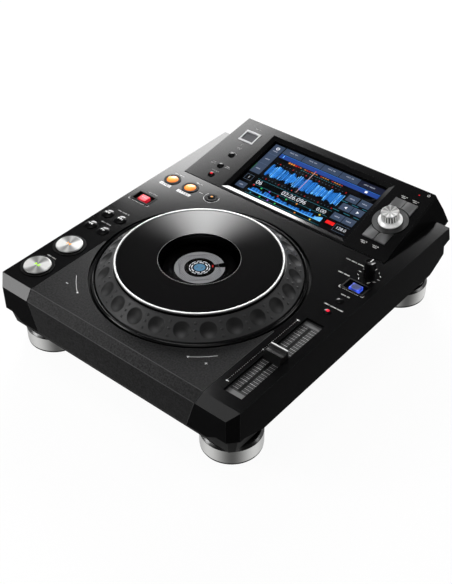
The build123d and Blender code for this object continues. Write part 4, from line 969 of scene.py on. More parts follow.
def lens(name: str, seat: Seat, finish: Finish, profile: Sequence[Pair], middle: Pair, body: Body, slot: str) -> None:
    """Turns a small lit lens.

    Args:
        name: The piece's name.
        seat: The face that it sits on.
        finish: What it is lit in.
        profile: Its (radius, height) points.
        middle: Its place on the face.
        body: The body that it moves with.
        slot: The record's material slot.
    """
    work = Workpiece(name, seat, [finish])
    work.lathe(profile, *middle, steps=20)
    work.finish(body, slot, 60.0)


def digits(name: str, seat: Seat, words: Sequence[Tuple[str, float, float, float]], height: float, finish: Finish) -> None:
    """Sets plain numbers as thin raised meshes.

    Args:
        name: The piece's name.
        seat: The face that they lie on.
        words: Number, middle across, middle along and size of each.
        height: Height above the face.
        finish: What they are printed or lit in.
    """
    made: List[bpy.types.Object] = []
    for text, x, y, size in words:
        deselect()
        bpy.ops.object.text_add(location=Vector((x, y, height)) * MM)
        data = bpy.context.object.data
        data.body = text
        data.size = size * MM
        data.align_x = data.align_y = "CENTER"
        data.extrude = 0.5 * INK * MM
        bpy.ops.object.convert(target="MESH")
        bpy.ops.object.transform_apply(location=True, rotation=True, scale=True)
        made.append(bpy.context.object)
    deselect()
    for obj in made:
        obj.select_set(True)
    bpy.context.view_layer.objects.active = made[0]
    bpy.ops.object.join()
    piece = bpy.context.object
    piece.name = name
    piece.data.name = name
    piece.data.materials.clear()
    piece.data.materials.append(finish.material())
    piece.matrix_world = seat.matrix()
    bpy.ops.object.transform_apply(location=True, rotation=True, scale=True)
    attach(piece, Body.CASE.value)
    log.info("set %s", name)


# Sub-assemblies

@dataclass
class Case:
    """Shell, apron, lower case and feet."""

    deck_edge: float = 1.0
    apron_edge: float = 0.5
    arc_r: float = 122.5
    arc_half: float = 0.225
    arc_start: float = 36.0
    arc_sweep: float = 12.5
    tip_r: float = 1.5
    sign: Pair = (90.2, 28.6)
    stroke: Pair = (2.8, 0.7)

    def build(self) -> None:
        """Dresses the shell and prints its marks."""
        dress("top_deck", GLOSS, self.deck_edge, rim=DECK_EDGE_HIGHLIGHT)
        dress("jog_apron", APRON, self.apron_edge, rim=APRON_EDGE_HIGHLIGHT)
        dress("bottom_case", POWDER, 0.6)
        dress("foot_rings", FOOT, 0.3)
        dress("foot_pads", RUBBER, 0.4)
        dress("case_screws", STEEL, 0.2)
        self.turn_marks()

    def turn_marks(self) -> None:
        """Prints the two turning arcs with arrow tips, and a minus and a plus, on the apron."""
        work = Workpiece("turn_marks", DECK, [WHITE])
        x, y = self.sign
        for side in (-1, 1):
            start = 270.0 + side * self.arc_start
            work.arc(0.0, DIAL_Y, self.arc_r - self.arc_half, self.arc_r + self.arc_half, start, side * self.arc_sweep)
            tip_x, tip_y = around(self.arc_r, start)
            work.dot(tip_x - 0.3 * side, DIAL_Y + tip_y, self.tip_r, sides=3, turn=start + 90.0 - 60.0 * side)
            work.bar(side * x, y, *self.stroke)
        work.bar(x, y, *self.stroke[::-1], high=1.2 * INK)
        work.finish(Body.CASE, "apron_texture")


@dataclass
class JogDial:
    """Turning dial with its fixed display."""

    outer_r: float = 103.7
    cone_r: float = 86.3
    low_z: float = 0.6
    top_z: float = 14.5
    dimples: int = 24
    first_dimple: float = 0.9
    dimple_half: Pair = (8.6, 6.7)
    nub_r: float = 1.45
    nub_steps: Tuple[Pair, ...] = ((0.45, 0.82), (0.3, 0.55))
    disc_z: float = 6.5
    ring_r: Pair = (15.4, 25.2)
    ring_start: float = 57.0
    ring_sweep: float = 342.5
    ticks: int = 68
    tick: Triple = (20.3, 9.0, 0.32)
    core_r: float = 5.8
    pointer: Triple = (13.2, 3.4, 1.2)
    pointer_turn: float = 48.5

    def build(self) -> None:
        """Dresses the dial and adds the nubs and the display's marks."""
        slope = DimpledSatin("dial_dimpled", grey(0.034, 0.0005), 0.4, (self.outer_r + self.cone_r) / 2,
                             self.dimple_half, self.dimples, self.first_dimple)
        dress("jog_ring", slope, 0.35, 18.0)
        dress("jog_platter", PLATTER, 0.3)
        dress("jog_trim_ring", TRIM, 0.25)
        dress("jog_guard_ring", GLOSS, 0.5, 25.0)
        dress("jog_window", WINDOW)
        dress("jog_hub", DARK)
        dress("jog_base", DARK)
        dress("jog_bearing", NICKEL)
        dress("jog_display", DARK, 0.2)
        self.nubs()
        self.display()

    def nubs(self) -> None:
        """Models one nub, and sets three in a row between every two dimples of the slope."""
        slope = math.atan2(self.top_z - self.low_z, self.outer_r - self.cone_r)
        work = Workpiece("jog_nubs", DECK.at(0.0, DIAL_Y), [SATIN])
        for k in range(self.dimples):
            turn = self.first_dimple + 360.0 * (k + 0.5) / self.dimples
            for share in (0.2, 0.5, 0.8):
                r = self.outer_r + (self.cone_r - self.outer_r) * share
                z = self.low_z + (self.top_z - self.low_z) * share
                self.nub(Vector((*around(r, turn), z)) * MM, math.radians(turn), slope)
        work.finish(Body.JOG, "dial_black", 60.0)

    def nub(self, middle: Vector, turn: float, slope: float) -> None:
        """Adds one rounded nub that stands square on the slope.

        Args:
            middle: The middle of its foot, in metres.
            turn: Its angle round the dial, in radians.
            slope: The slope's lean, in radians.
        """
        lean = Matrix.Rotation(turn, 3, "Z") @ Matrix.Rotation(slope, 3, "Y")
        bpy.ops.mesh.select_all(action="DESELECT")
        bpy.ops.mesh.primitive_circle_add(vertices=12, radius=self.nub_r * MM, fill_type="NGON", location=middle,
                                          rotation=lean.to_euler())
        for rise, shrink in self.nub_steps:
            step = lean @ Vector((0.0, 0.0, rise * MM))
            bpy.ops.mesh.extrude_region_move(TRANSFORM_OT_translate={"value": step})
            middle = middle + step
            bpy.ops.transform.resize(value=(shrink, shrink, shrink), center_override=middle)

    def display(self) -> None:
        """Lights the ring, the ticks, the pointer and the dashed circles of the fixed display."""
        tones = (("ring", grey(0.27, 0.005)), ("tick", grey(0.12, 0.005)), ("white", (0.85, 0.87, 0.9)),
                 ("blue", (0.10, 0.25, 0.40)), ("red", (0.5, 0.02, 0.015)))
        ring, dark, white, blue, red = range(len(tones))
        work = Workpiece("dial_display_picture", DECK.at(0.0, DIAL_Y, self.disc_z),
                         [Pixels(f"dial_{name}_lit", tone, 1.7, DECK) for name, tone in tones])
        low, high = 0.1, 0.14
        work.arc(0.0, 0.0, *self.ring_r, self.ring_start, self.ring_sweep, ring, high=low)
        r, length, width = self.tick
        for k in range(self.ticks):
            turn = self.ring_start + 2.5 + 5.0 * k
            work.bar(*around(r, turn), length, width, dark, turn, low, high)
        work.dot(0.0, 0.0, self.core_r, blue, high=low, sides=40)
        for r, half, dashes in ((10.2, 0.35, 10), (7.9, 0.5, 8)):
            for k in range(dashes):
                work.arc(0.0, 0.0, r - half, r + half, 360.0 * k / dashes + r, 270.0 / dashes, white, high=low)
        for turn in (25.0, 205.0):
            work.bar(*around(2.4, turn), 2.6, 0.7, dark, turn + 60.0, low, high)
        r, length, width = self.pointer
        work.bar(*around(r, self.pointer_turn), length, width, red, self.pointer_turn, high=low)
        work.finish(Body.CASE, "screen_lcd")


class Ui(Enum):
    """Colours of the lit display, in slot order of its picture."""

    SLATE = (0.040, 0.060, 0.105)
    NAVY = (0.012, 0.014, 0.032)
    TITLE = (0.014, 0.050, 0.26)
    DEEP = (0.008, 0.10, 0.40)
    SHADE = (0.004, 0.030, 0.12)
    WAVE = (0.025, 0.24, 0.76)
    CREST = (0.16, 0.52, 0.98)
    WHITE = (0.85, 0.86, 0.9)
    RED = (0.80, 0.012, 0.012)
    ORANGE = (0.85, 0.28, 0.03)
    TEAL = (0.020, 0.22, 0.30)
    GREEN = (0.04, 0.62, 0.10)
    VIOLET = (0.30, 0.05, 0.62)
    YELLOW = (0.85, 0.70, 0.05)
    EDGE = (0.09, 0.13, 0.20)
    TEXT = (0.40, 0.43, 0.50)
    HEAD = (0.70, 0.42, 0.42)
    MOSS = (0.02, 0.12, 0.035)

    @property
    def slot(self) -> int:
        """Returns the colour's slot in the picture."""
        return list(Ui).index(self)


class Screen(Workpiece):
    """The lit picture of the touch screen, drawn in layers of one thickness."""

    def lit(self, tone: Ui, *areas: Tuple[float, float, float, float], layer: int = 0) -> None:
        """Adds lit areas of one colour.

        Args:
            tone: Their colour.
            areas: Middle across, middle along, width and length of each.
            layer: The layer that they are in.
        """
        for x, s, width, length in areas:
            self.bar(x, s, width, length, tone.slot, low=layer * INK, high=(layer + 1) * INK)

    def label(self, x: float, s: float, width: float, size: float = 1.6) -> None:
        """Adds a row of ticks in the place of a label."""
        self.words(x, s, width, Ui.TEXT.slot, size, INK)

    def spot(self, x: float, s: float, r: float, tone: Ui, sides: int = 20, turn: float = 0.0, layer: int = 1) -> None:
        """Adds a lit disc or triangle."""
        self.dot(x, s, r, tone.slot, layer * INK, (layer + 1) * INK, sides, turn)


@dataclass
class Display:
    """Hood, tilted panel, touch screen and its picture, USB port and small buttons."""

    lcd_z: float = -5.0
    tabs_x: Tuple[Pair, ...] = ((-59.0, -33.2), (-32.4, -6.4), (-5.6, 18.0), (18.8, 43.0))
    column_x: float = -67.4
    head_x: float = -7.6
    wave_x: Pair = (-56.5, 42.0)
    wave_s: float = 54.5
    wave_h: float = 9.6
    wave_bars: int = 112
    overview_s: float = 20.2
    overview_h: float = 5.6
    cue_x: float = -41.5
    cue_pitch: float = 3.1
    key_rows: Tuple[Tuple[float, Pair], ...] = ((62.6, (52.0, 67.8)), (48.6, (53.0, 67.6)), (32.6, (53.0, 67.6)))
    arrow_s: float = 48.6

    def build(self) -> None:
        """Dresses the hood and lights the screen."""
        dress("display_housing", HOOD_GLOSS, 0.6, rim=DECK_EDGE_HIGHLIGHT)
        dress("display_panel", PANEL_GLOSS, 0.5, 15.0, PANEL_EDGE_HIGHLIGHT)
        dress("touch_screen", GLASS, 0.2)
        dress("lcd_module", DARK)
        dress("usb_frame", FRAME, 0.25)
        dress("usb_flap", FLAP, 0.25)
        dress("usb_port", NICKEL)
        for node in ("usb_stop_button", "time_mode_button", "quantize_button"):
            dress(node, DOME)
        self.picture()
        self.numbers()
        self.marks()

    def picture(self) -> None:
        """Lays out the lit areas of the screen."""
        finishes = [Pixels("screen_" + tone.name.lower(), tone.value) for tone in Ui]
        work = Screen("screen_picture", PANEL.at(0.0, 0.0, self.lcd_z), finishes)
        self.tabs(work)
        self.column(work)
        self.waves(work)
        self.beats(work)
        self.overview(work)
        self.keys(work)
        work.finish(Body.CASE, "screen_lcd")

    def tabs(self, work: Screen) -> None:
        """Draws the row of tabs and the title bar.

        Args:
            work: The picture.
        """
        for left, right in self.tabs_x:
            middle, width = (left + right) / 2, right - left
            work.lit(Ui.SLATE, (middle, 88.0, width, 9.0))
            work.lit(Ui.EDGE, (middle, 92.4, width, 0.3), layer=1)
            work.label(middle, 89.0, 0.45 * width, 1.5)
        work.lit(Ui.NAVY, (59.2, 88.0, 30.6, 9.0))
        work.label(57.0, 88.4, 16.0)
        work.lit(Ui.TITLE, (7.8, 79.4, 132.6, 6.2))
        work.lit(Ui.WAVE, (7.8, 82.3, 132.6, 0.35), layer=1)
        work.lit(Ui.WHITE, (58.0, 79.4, 3.2, 3.2), layer=1)
        work.lit(Ui.CREST, (-53.6, 79.4, 1.0, 3.4), layer=1)

    def column(self, work: Screen) -> None:
        """Draws the column of tabs at the left, the small box below it and thin rules.

        Args:
            work: The picture.
        """
        x = self.column_x
        work.lit(Ui.SLATE, (x, 67.2, 13.6, 50.4))
        work.lit(Ui.EDGE, *((x, s, 13.6, 0.3) for s in (92.2, 76.4, 58.8)), layer=1)
        work.arc(x, 87.0, 1.5, 2.3, 0.0, 360.0, Ui.WHITE.slot, INK, 2 * INK)
        work.spot(x, 87.0, 0.7, Ui.WHITE)
        for s in (82.0, 67.2, 49.8):
            work.label(x, s, 6.6)
        work.lit(Ui.MOSS, (-74.0, 51.0, 0.7, 11.0), layer=1)
        work.lit(Ui.SLATE, (-67.9, 19.6, 12.0, 8.6))
        work.label(-67.9, 19.6, 5.0)
        work.lit(Ui.EDGE, (-67.7, 29.0, 9.6, 0.3), (-67.7, 37.4, 9.6, 0.3), (-72.4, 33.2, 0.3, 8.6),
                 (-63.0, 33.2, 0.3, 8.6))
        work.lit(Ui.TEAL, *((-7.0, s, 100.0, 0.25) for s in (36.4, 27.2, 12.4)))

    def waves(self, work: Screen) -> None:
        """Draws the large wave, from sines and a fixed jitter.

        Args:
            work: The picture.
        """
        left, right = self.wave_x
        pitch = (right - left) / self.wave_bars
        tones = (Ui.DEEP, Ui.WAVE, Ui.SHADE, Ui.CREST, Ui.WAVE)
        for k in range(self.wave_bars):
            x = left + (k + 0.5) * pitch
            jitter = abs(math.sin(12.9898 * k) * 437.585) % 1.0
            beat = 0.62 + 0.2 * math.cos(FULL * k / 11.5) + 0.12 * math.sin(0.13 * k)
            half = self.wave_h * min(1.0, beat + 0.38 * jitter)
            tone = tones[int(len(tones) * ((jitter * 7.3) % 1.0))]
            work.bar(x, self.wave_s, 0.86 * pitch, 2 * half, tone.slot)
            core = Ui.WAVE if k % 2 else Ui.DEEP
            work.bar(x, self.wave_s, 0.5 * pitch, half * (0.5 + 0.8 * jitter), core.slot, low=INK, high=1.5 * INK)

    def beats(self, work: Screen) -> None:
        """Draws the beat marks round the wave, the cue marks above it and the playhead.

        Args:
            work: The picture.
        """
        for k in range(22):
            first = k % 4 == 1
            for s in (67.4, 40.2):
                work.lit(Ui.RED if first else Ui.EDGE,
                         (self.wave_x[0] + 3.0 + 4.45 * k, s, 0.7, 1.5 if first else 0.8))
        for k in range(24):
            x = self.cue_x + self.cue_pitch * k
            if k not in (6, 13, 18):
                work.lit(Ui.RED if k % 5 in (3, 4) else Ui.ORANGE, (x, 74.4, 2.0, 0.8 if k > 3 else 2.0))
            if k > 5:
                work.lit(Ui.TEAL, (x, 71.6, 1.6, 0.5))
        work.lit(Ui.HEAD, (self.head_x, 59.0, 0.5, 38.0), layer=2)
        work.spot(self.head_x, 77.4, 1.1, Ui.RED, 3, 180.0, layer=2)

    def overview(self, work: Screen) -> None:
        """Draws the small wave of the whole track with its coloured spots.

        Args:
            work: The picture.
        """
        work.lit(Ui.CREST, (-8.0, self.overview_s - 2.6, 98.0, 0.9), layer=2)
        for k in range(98):
            swell = 0.55 + 0.45 * abs(math.sin(0.21 * k)) * abs(math.sin(0.043 * k + 0.6))
            height = self.overview_h * swell * (0.35 if k % 17 in (0, 1, 2) else 1.0)
            tone = Ui.CREST if k > 88 else (Ui.DEEP if k % 4 else Ui.WAVE)
            work.bar(self.wave_x[0] + k, self.overview_s - 2.2 + height / 2, 0.9, height, tone.slot,
                     low=INK, high=1.6 * INK)
        spots = ((-55.0, 26.0, Ui.RED), (-44.0, 25.6, Ui.GREEN), (-33.0, 26.0, Ui.VIOLET), (-21.0, 25.2, Ui.RED),
                 (-51.0, 14.4, Ui.TEAL), (-38.0, 14.2, Ui.GREEN), (-27.0, 14.4, Ui.VIOLET), (-17.0, 14.2, Ui.GREEN),
                 (4.0, 26.2, Ui.ORANGE), (10.0, 14.2, Ui.ORANGE), (22.0, 25.8, Ui.WAVE), (30.0, 14.4, Ui.YELLOW),
                 (35.0, 25.4, Ui.YELLOW), (-10.0, 25.8, Ui.GREEN))
        for x, s, tone in spots:
            work.spot(x, s, 0.95, tone, 12)

    def keys(self, work: Screen) -> None:
        """Draws the on-screen keys, the red tag and the number box.

        Args:
            work: The picture.
        """
        for s, places in self.key_rows:
            for x in places:
                work.lit(Ui.SLATE, (x, s, 13.8, 9.6))
                work.lit(Ui.EDGE, (x, s + 4.7, 13.8, 0.3), layer=1)
                if s != self.arrow_s:
                    work.label(x, s, 7.4, 1.7)
        work.spot(53.0, self.arrow_s, 2.2, Ui.WHITE, 3, 90.0)
        work.spot(67.6, self.arrow_s, 2.2, Ui.WHITE, 3, -90.0)
        for x in (46.5, 60.0, 73.0):
            work.lit(Ui.TEAL, (x, 55.6, 8.0, 0.5), (x - 1.0, 40.8, 8.0, 0.5))
        work.lit(Ui.RED, (51.2, 21.6, 10.6, 4.6))
        work.lit(Ui.EDGE, (66.6, 14.2, 17.0, 0.3), (66.6, 24.4, 17.0, 0.3), (58.1, 19.3, 0.3, 10.2),
                 (75.1, 19.3, 0.3, 10.2))

    def numbers(self) -> None:
        """Lights the plain numbers of the screen."""
        words = [("06", -52.0, 31.6, 8.2), ("02:26.096", -4.2, 31.8, 8.3), ("0.00", 32.6, 31.4, 7.0),
                 ("128.0", 66.6, 19.4, 5.6), ("1", -67.7, 33.2, 5.0)]
        digits("screen_digits", PANEL, words, self.lcd_z + 2 * INK, Pixels("screen_digits", (0.62, 0.64, 0.69)))

    def marks(self) -> None:
        """Prints the small marks of the panel and sets its red lights."""
        white, pale, red = range(3)
        light = Pixels("panel_red_light", (0.8, 0.01, 0.025))
        work = Workpiece("panel_marks", PANEL, [WHITE, GREY, light])
        for x, s, width in ((-104.4, 98.4, 9.0), (-103.4, 62.0, 7.0), (-103.4, 60.2, 5.0)):
            work.words(x, s, width, pale, 1.3)
        work.bar(-104.4, 68.6, 0.4, 3.6, pale)
        work.dot(-104.4, 66.2, 1.0, pale, sides=3, turn=60.0)
        work.arc(-103.8, 47.6, 5.2, 5.5, 20.0, 140.0, pale)
        for x, s, width in ((-113.6, 29.4, 6.0), (-113.6, 27.4, 7.0), (-94.6, 30.0, 6.0), (-94.6, 28.0, 7.0),
                            (-103.8, 18.2, 11.0)):
            work.words(x, s, width, pale, 1.3)
        work.dot(111.7, 99.9, 0.72, red)
        work.arc(120.9, 104.1, 1.2, 1.6, 120.0, 300.0, white)
        work.bar(120.9, 105.4, 0.4, 1.6, white)
        for x, s in ((99.8, 90.2), (113.6, 90.2), (99.4, 14.6), (113.6, 14.6)):
            work.words(x, s, 8.0, white, 1.3)
            work.words(x, s - 2.0, 5.0, white, 1.3)
        work.finish(Body.CASE, "deck_gloss")
        lens("quantize_lens", PANEL, light, [(0.0, 2.0), (0.8, 1.9), (1.5, 1.6), (1.7, 1.2), (1.7, 0.9)],
             (-103.75, 11.6), Body.QUANTIZE, "lamp_red")


@dataclass
class Transport:
    """Play and cue discs, search and track domes, direction lever and loop lamps on the left strip."""

    column: float = -133.0
    play_y: float = 28.6
    cue_y: float = 72.7
    cap_r: float = 14.4
    cap_rise: float = 2.4
    groove_pitch: float = 0.5
    grooves: int = 24
    dome_y: Pair = (112.3, 138.0)
    pair: float = 9.0
    hover: float = 3.0
    direction_y: float = 184.5
    loop_y: float = 231.2
    loop_pitch: float = 26.2
    reloop_x: float = -76.0
    plate_y: float = 219.2
    bracket_y: float = 174.4

    def build(self) -> None:
        """Dresses the caps and adds their faces and glyphs."""
        dress("control_bezels", DARK, 0.3)
        for node in ("search_back", "search_forward", "track_back", "track_forward", "reloop"):
            dress(node + "_button", DOME)
        for k, node in enumerate(("loop_in", "loop_out")):
            dress(node + "_button", Lamp("lamp_" + node, (0.95, 0.34, 0.06), (0.55, 0.12, 0.015),
                                         self.column + self.loop_pitch * k - 1.0, self.loop_y + 1.0, 8.0, 0.7))
        dress("direction_button", Lamp("lamp_direction", (0.85, 0.05, 0.08), (0.5, 0.008, 0.02), self.column,
                                       self.direction_y + 2.0, 7.5, 0.6), 0.3)
        self.disc("play", self.play_y, Pixels("glyph_green", (0.36, 0.85, 0.03), 1.1, DECK), Body.PLAY)
        self.disc("cue", self.cue_y, Pixels("glyph_amber", (1.0, 0.36, 0.04), 1.1, DECK), Body.CUE)
        self.glyphs()
        self.marks()
        self.lights()

    def disc(self, name: str, y: float, lit: Finish, body: Body) -> None:
        """Turns a metal cap with a stepped rim and fine rings, and sets its lit glyph.

        Args:
            name: The button's name.
            y: Its place on the strip.
            lit: What its glyph is lit in.
            body: The body that it moves with.
        """
        face, well, glyph = range(3)
        # the cap's bright fans are painted reflections
        spun = SpunMetal(name + "_spun", grey(0.62, -0.01), 0.36, DECK, (self.column, y), 0.84, 0.5, 0.5)
        work = Workpiece(name + "_cap", DECK, [spun, DARK, lit])
        top = self.cap_rise
        profile = [(0.0, top - 0.12)]
        for k in range(self.grooves):
            profile.append((self.groove_pitch * (k + 1), top - (0.12 if k % 2 else 0.08)))
        profile += [(12.6, top - 0.05), (13.2, top), (13.7, top - 0.25), (14.1, top - 0.8)]
        work.lathe(profile, self.column, y, face, 72)
        work.lathe([(14.1, top - 0.8), (self.cap_r, top - 1.0), (self.cap_r, -3.3), (15.2, -3.3), (15.2, -4.5),
                    (2.0, -4.5), (2.0, -8.4), (0.0, -8.4)], self.column, y, well, 72)
        work.join()
        low, high = top - 0.1, top + 0.02
        if body is Body.PLAY:
            work.dot(self.column - 2.0, y, 2.0, glyph, low, high, 3, -90.0)
            for x in (1.2, 2.9):
                work.bar(self.column + x, y, 0.9, 3.5, glyph, 0.0, low, high)
        else:
            work.bar(self.column - 2.7, y, 0.9, 3.5, glyph, 0.0, low, high)
            work.dot(self.column + 0.9, y, 2.0, glyph, low, high, 3, 90.0)
        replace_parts(work.finish(body, "knob_silver", 40.0), name + "_button")

    def glyphs(self) -> None:
        """Sets double arrows in the search domes, and double arrows with a bar in the track domes."""
        for row, y in zip(("search", "track"), self.dome_y):
            for side, way in ((-1, "back"), (1, "forward")):
                work = Workpiece(f"{row}_{way}_glyph", DECK, [WHITE])
                x = self.column + side * self.pair
                for step in (-1.8, 1.15):
                    work.dot(x + step * side, y, 1.8, 0, self.hover, self.hover, 3, -90.0 * side)
                if row == "track":
                    work.bar(x + 3.3 * side, y, 0.6, 3.1, 0, 0.0, self.hover, self.hover)
                work.drape(f"{row}_{way}_button")
                work.finish(Body(f"{row}_{way}"), "knob_black")

    def marks(self) -> None:
        """Prints the strip's generic marks: loop plates, brackets and thin rules."""
        white, pale, dark = range(3)
        work = Workpiece("left_strip_marks", DECK, [WHITE, GREY, DARK])
        for x, width in ((self.column, 16.0), (self.column + 26.8, 19.0)):
            work.bar(x, self.plate_y, width, 4.4, white)
            for k in range(5):
                work.bar(x + (k - 2) * width / 6.0, self.plate_y, 0.8, 2.4 if k % 2 else 1.5, dark, 0.0, INK, 1.6 * INK)
        for x, y, width in ((-133.0, 48.0, 13.0), (-131.5, 124.6, 14.0), (-131.0, 150.4, 17.0),
                            (-130.0, 196.4, 15.0), (-133.0, 243.6, 14.0), (-104.0, 243.6, 9.0)):
            work.words(x, y, width, pale)
        for x in (-145.6, -120.4):
            work.bar(x, self.bracket_y, 3.0, 0.4, white)
        for x in (-146.9, -119.1):
            work.bar(x, self.bracket_y + 1.4, 0.4, 3.0, white)
        for k in range(9):
            work.bar(-140.4 + 1.9 * k, self.bracket_y, 0.9, 0.4, white)
        work.arc(self.reloop_x, self.loop_y, 8.4, 8.8, 150.0, 240.0, white)
        work.bar(-91.0, self.loop_y, 6.0, 0.35, pale)
        work.finish(Body.CASE, "deck_gloss")

    def lights(self) -> None:
        """Sets the loop's lit lens and the lever's marks."""
        amber = Pixels("reloop_amber", (1.0, 0.42, 0.08), 1.0, DECK)
        lens("reloop_lens", DECK, amber, [(0.0, 1.95), (0.7, 1.85), (1.2, 1.6), (1.3, 1.2)],
             (self.reloop_x, self.loop_y + 0.6), Body.RELOOP, "lamp_orange")
        insert = Workpiece("direction_glyph", DECK, [WHITE])
        for step in (-2.2, 0.0, 2.2):
            insert.bar(self.column + step, self.direction_y + 0.6, 1.4, 0.5, 0, 0.0, 0.4, 0.44)
        insert.finish(Body.DIRECTION, "lamp_red")


@dataclass
class TempoGroup:
    """Slider, tempo buttons, mode lever and speed knob on the right strip."""

    column: float = 133.0
    slider_y: float = 75.5
    plate_z: float = -3.0
    tick_x: float = 5.4
    tick_pitch: float = 3.92
    ticks: int = 27
    speed_y: float = 227.0
    flutes: int = 48
    flute_z: Pair = (4.5, 16.0)
    flute_depth: float = 0.22
    mode_y: float = 203.7
    guide_x: float = 118.2

    def build(self) -> None:
        """Dresses the controls and adds ticks, guide and pointer."""
        dress("tempo_plate", PLATE)
        dress("tempo_carriage", DARK)
        dress("slide_potentiometer", SOCKET)
        dress("tempo_cap", KNOB, 0.5)
        dress("rotary_controls", NICKEL)
        for node in ("tempo_range_button", "master_tempo_button"):
            dress(node, DOME)
        dress("mode_button", Lamp("lamp_mode", (0.004, 0.010, 0.05), (0.05, 0.12, 1.0), self.column,
                                  self.mode_y + 0.6, 7.0, 0.9, 5.0), 0.3)
        self.scale()
        self.cap()
        self.speed()
        self.marks()
        self.lights()

    def scale(self) -> None:
        """Prints the slider's plate: grey columns of bars on both sides of a black slot."""
        pale, dark, line, faint = range(4)
        work = Workpiece("slider_scale", DECK.at(self.column, self.slider_y, self.plate_z), [GREY, DARK, LINE, FAINT])
        for side in (-1, 1):
            for k in range(self.ticks):
                y = self.tick_pitch * (k - self.ticks // 2)
                width, slot = (7.6, line) if k % 5 == 3 else (6.6, pale)
                work.bar(side * self.tick_x, y, width, 0.3, slot)
                work.bar(side * self.tick_x, y + self.tick_pitch / 2, 6.0, 0.22, faint)
        work.bar(0.0, 0.0, 3.2, 106.0, dark)
        for y in (57.0, -57.0):
            work.bar(0.0, y, 18.6, 5.4, faint)
        work.finish(Body.CASE, "dial_black")

    def cap(self) -> None:
        """Adds the slider cap's bright line and its side grips."""
        work = Workpiece("slider_cap_line", DECK.at(self.column, self.slider_y), [WHITE, KNOB])
        work.bar(0.0, 5.3, 18.6, 1.3, 0, 0.0, 8.2, 8.56)
        for side in (-1, 1):
            for k in range(3):
                y = side * (1.2 + 1.25 * k)
                rise = 5.5 + 3.0 * (abs(y) / 5.5) ** 2
                work.bar(0.0, y, 18.4, 0.4, 1, 0.0, rise - 0.3, rise + 0.14)
        work.finish(Body.TEMPO, "knob_black")

    def flute(self, face: bmesh.types.BMFace) -> bool:
        """Tells whether a face of the grip lies in a flute, which takes every second face.

        Args:
            face: The face.

        Returns:
            Whether it lies in one.
        """
        middle = face.calc_center_median()
        step = math.degrees(math.atan2(middle.y, middle.x)) * self.flutes / 360.0 + 0.5
        return self.flute_z[0] * MM < middle.z < self.flute_z[1] * MM and int(round(step)) % 2 == 0

    def speed(self) -> None:
        """Models the fluted speed knob with its white pointer."""
        work = Workpiece("speed_knob_cap", DECK.at(self.column, self.speed_y), [DOME, WHITE])
        work.lathe([(0.0, 17.1), (4.4, 17.1), (4.9, 17.4), (5.2, 17.2), (5.3, 16.4)], steps=self.flutes)
        work.lathe([(5.3, 16.4), (5.6, 4.0), (5.8, 1.0), (5.8, 0.3), (3.0, 0.3), (3.0, -12.0), (0.0, -12.0)],
                   steps=self.flutes)
        work.join()
        work.sink(self.flute, self.flute_depth)
        work.bar(0.0, 2.6, 0.9, 5.2, 1, 0.0, 17.0, 17.46)
        work.bar(0.0, 5.0, 0.9, 0.5, 1, 0.0, 12.0, 17.3)
        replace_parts(work.finish(Body.SPEED, "knob_black", 40.0), "speed_knob")

    def marks(self) -> None:
        """Prints the dial ticks, brackets, the dotted guide and thin rules."""
        white, pale = range(2)
        work = Workpiece("right_strip_marks", DECK, [WHITE, GREY])
        for k in range(11):
            turn = -60.0 + 30.0 * k
            r, length = (11.0, 2.6) if k % 5 else (11.6, 3.6)
            x, y = around(r, turn)
            work.bar(self.column + x, self.speed_y + y, length, 0.5, white, turn)
        for k in range(41):
            work.bar(self.guide_x, 26.0 + 2.5 * k, 0.3, 0.9, pale)
        for y in (24.0, 76.0, 128.4):
            work.dot(self.guide_x, y, 0.8, white)
            work.bar(self.guide_x + 1.4, y, 1.8, 0.4, white)
        for side in (-1, 1):
            work.bar(self.column + side * 13.9, self.mode_y - 8.0, 0.4, 3.2, white)
            work.bar(self.column + side * 12.6, self.mode_y - 9.4, 3.0, 0.4, white)
        for k in range(10):
            work.bar(self.column - 8.6 + 1.9 * k, self.mode_y - 9.4, 0.9, 0.4, white)
        for x, y, width in ((112.0, 236.0, 26.0), (112.5, 214.0, 15.0), (133.0, 186.2, 11.0), (134.0, 165.0, 22.0)):
            work.words(x, y, width, white)
        work.finish(Body.CASE, "deck_gloss")

    def lights(self) -> None:
        """Sets the red lens and the lever's marks."""
        red = Pixels("tempo_red_light", (0.95, 0.02, 0.05), 1.2, DECK)
        lens("master_tempo_lens", DECK, red, [(0.0, 1.98), (0.9, 1.86), (1.7, 1.55), (1.9, 1.1)],
             (self.column, 156.2), Body.MASTER_TEMPO, "lamp_red")
        glyph = Workpiece("mode_glyph", DECK, [WHITE])
        glyph.words(self.column, self.mode_y + 0.8, 7.0, 0, 1.4)
        glyph.finish(Body.MODE, "lamp_blue")


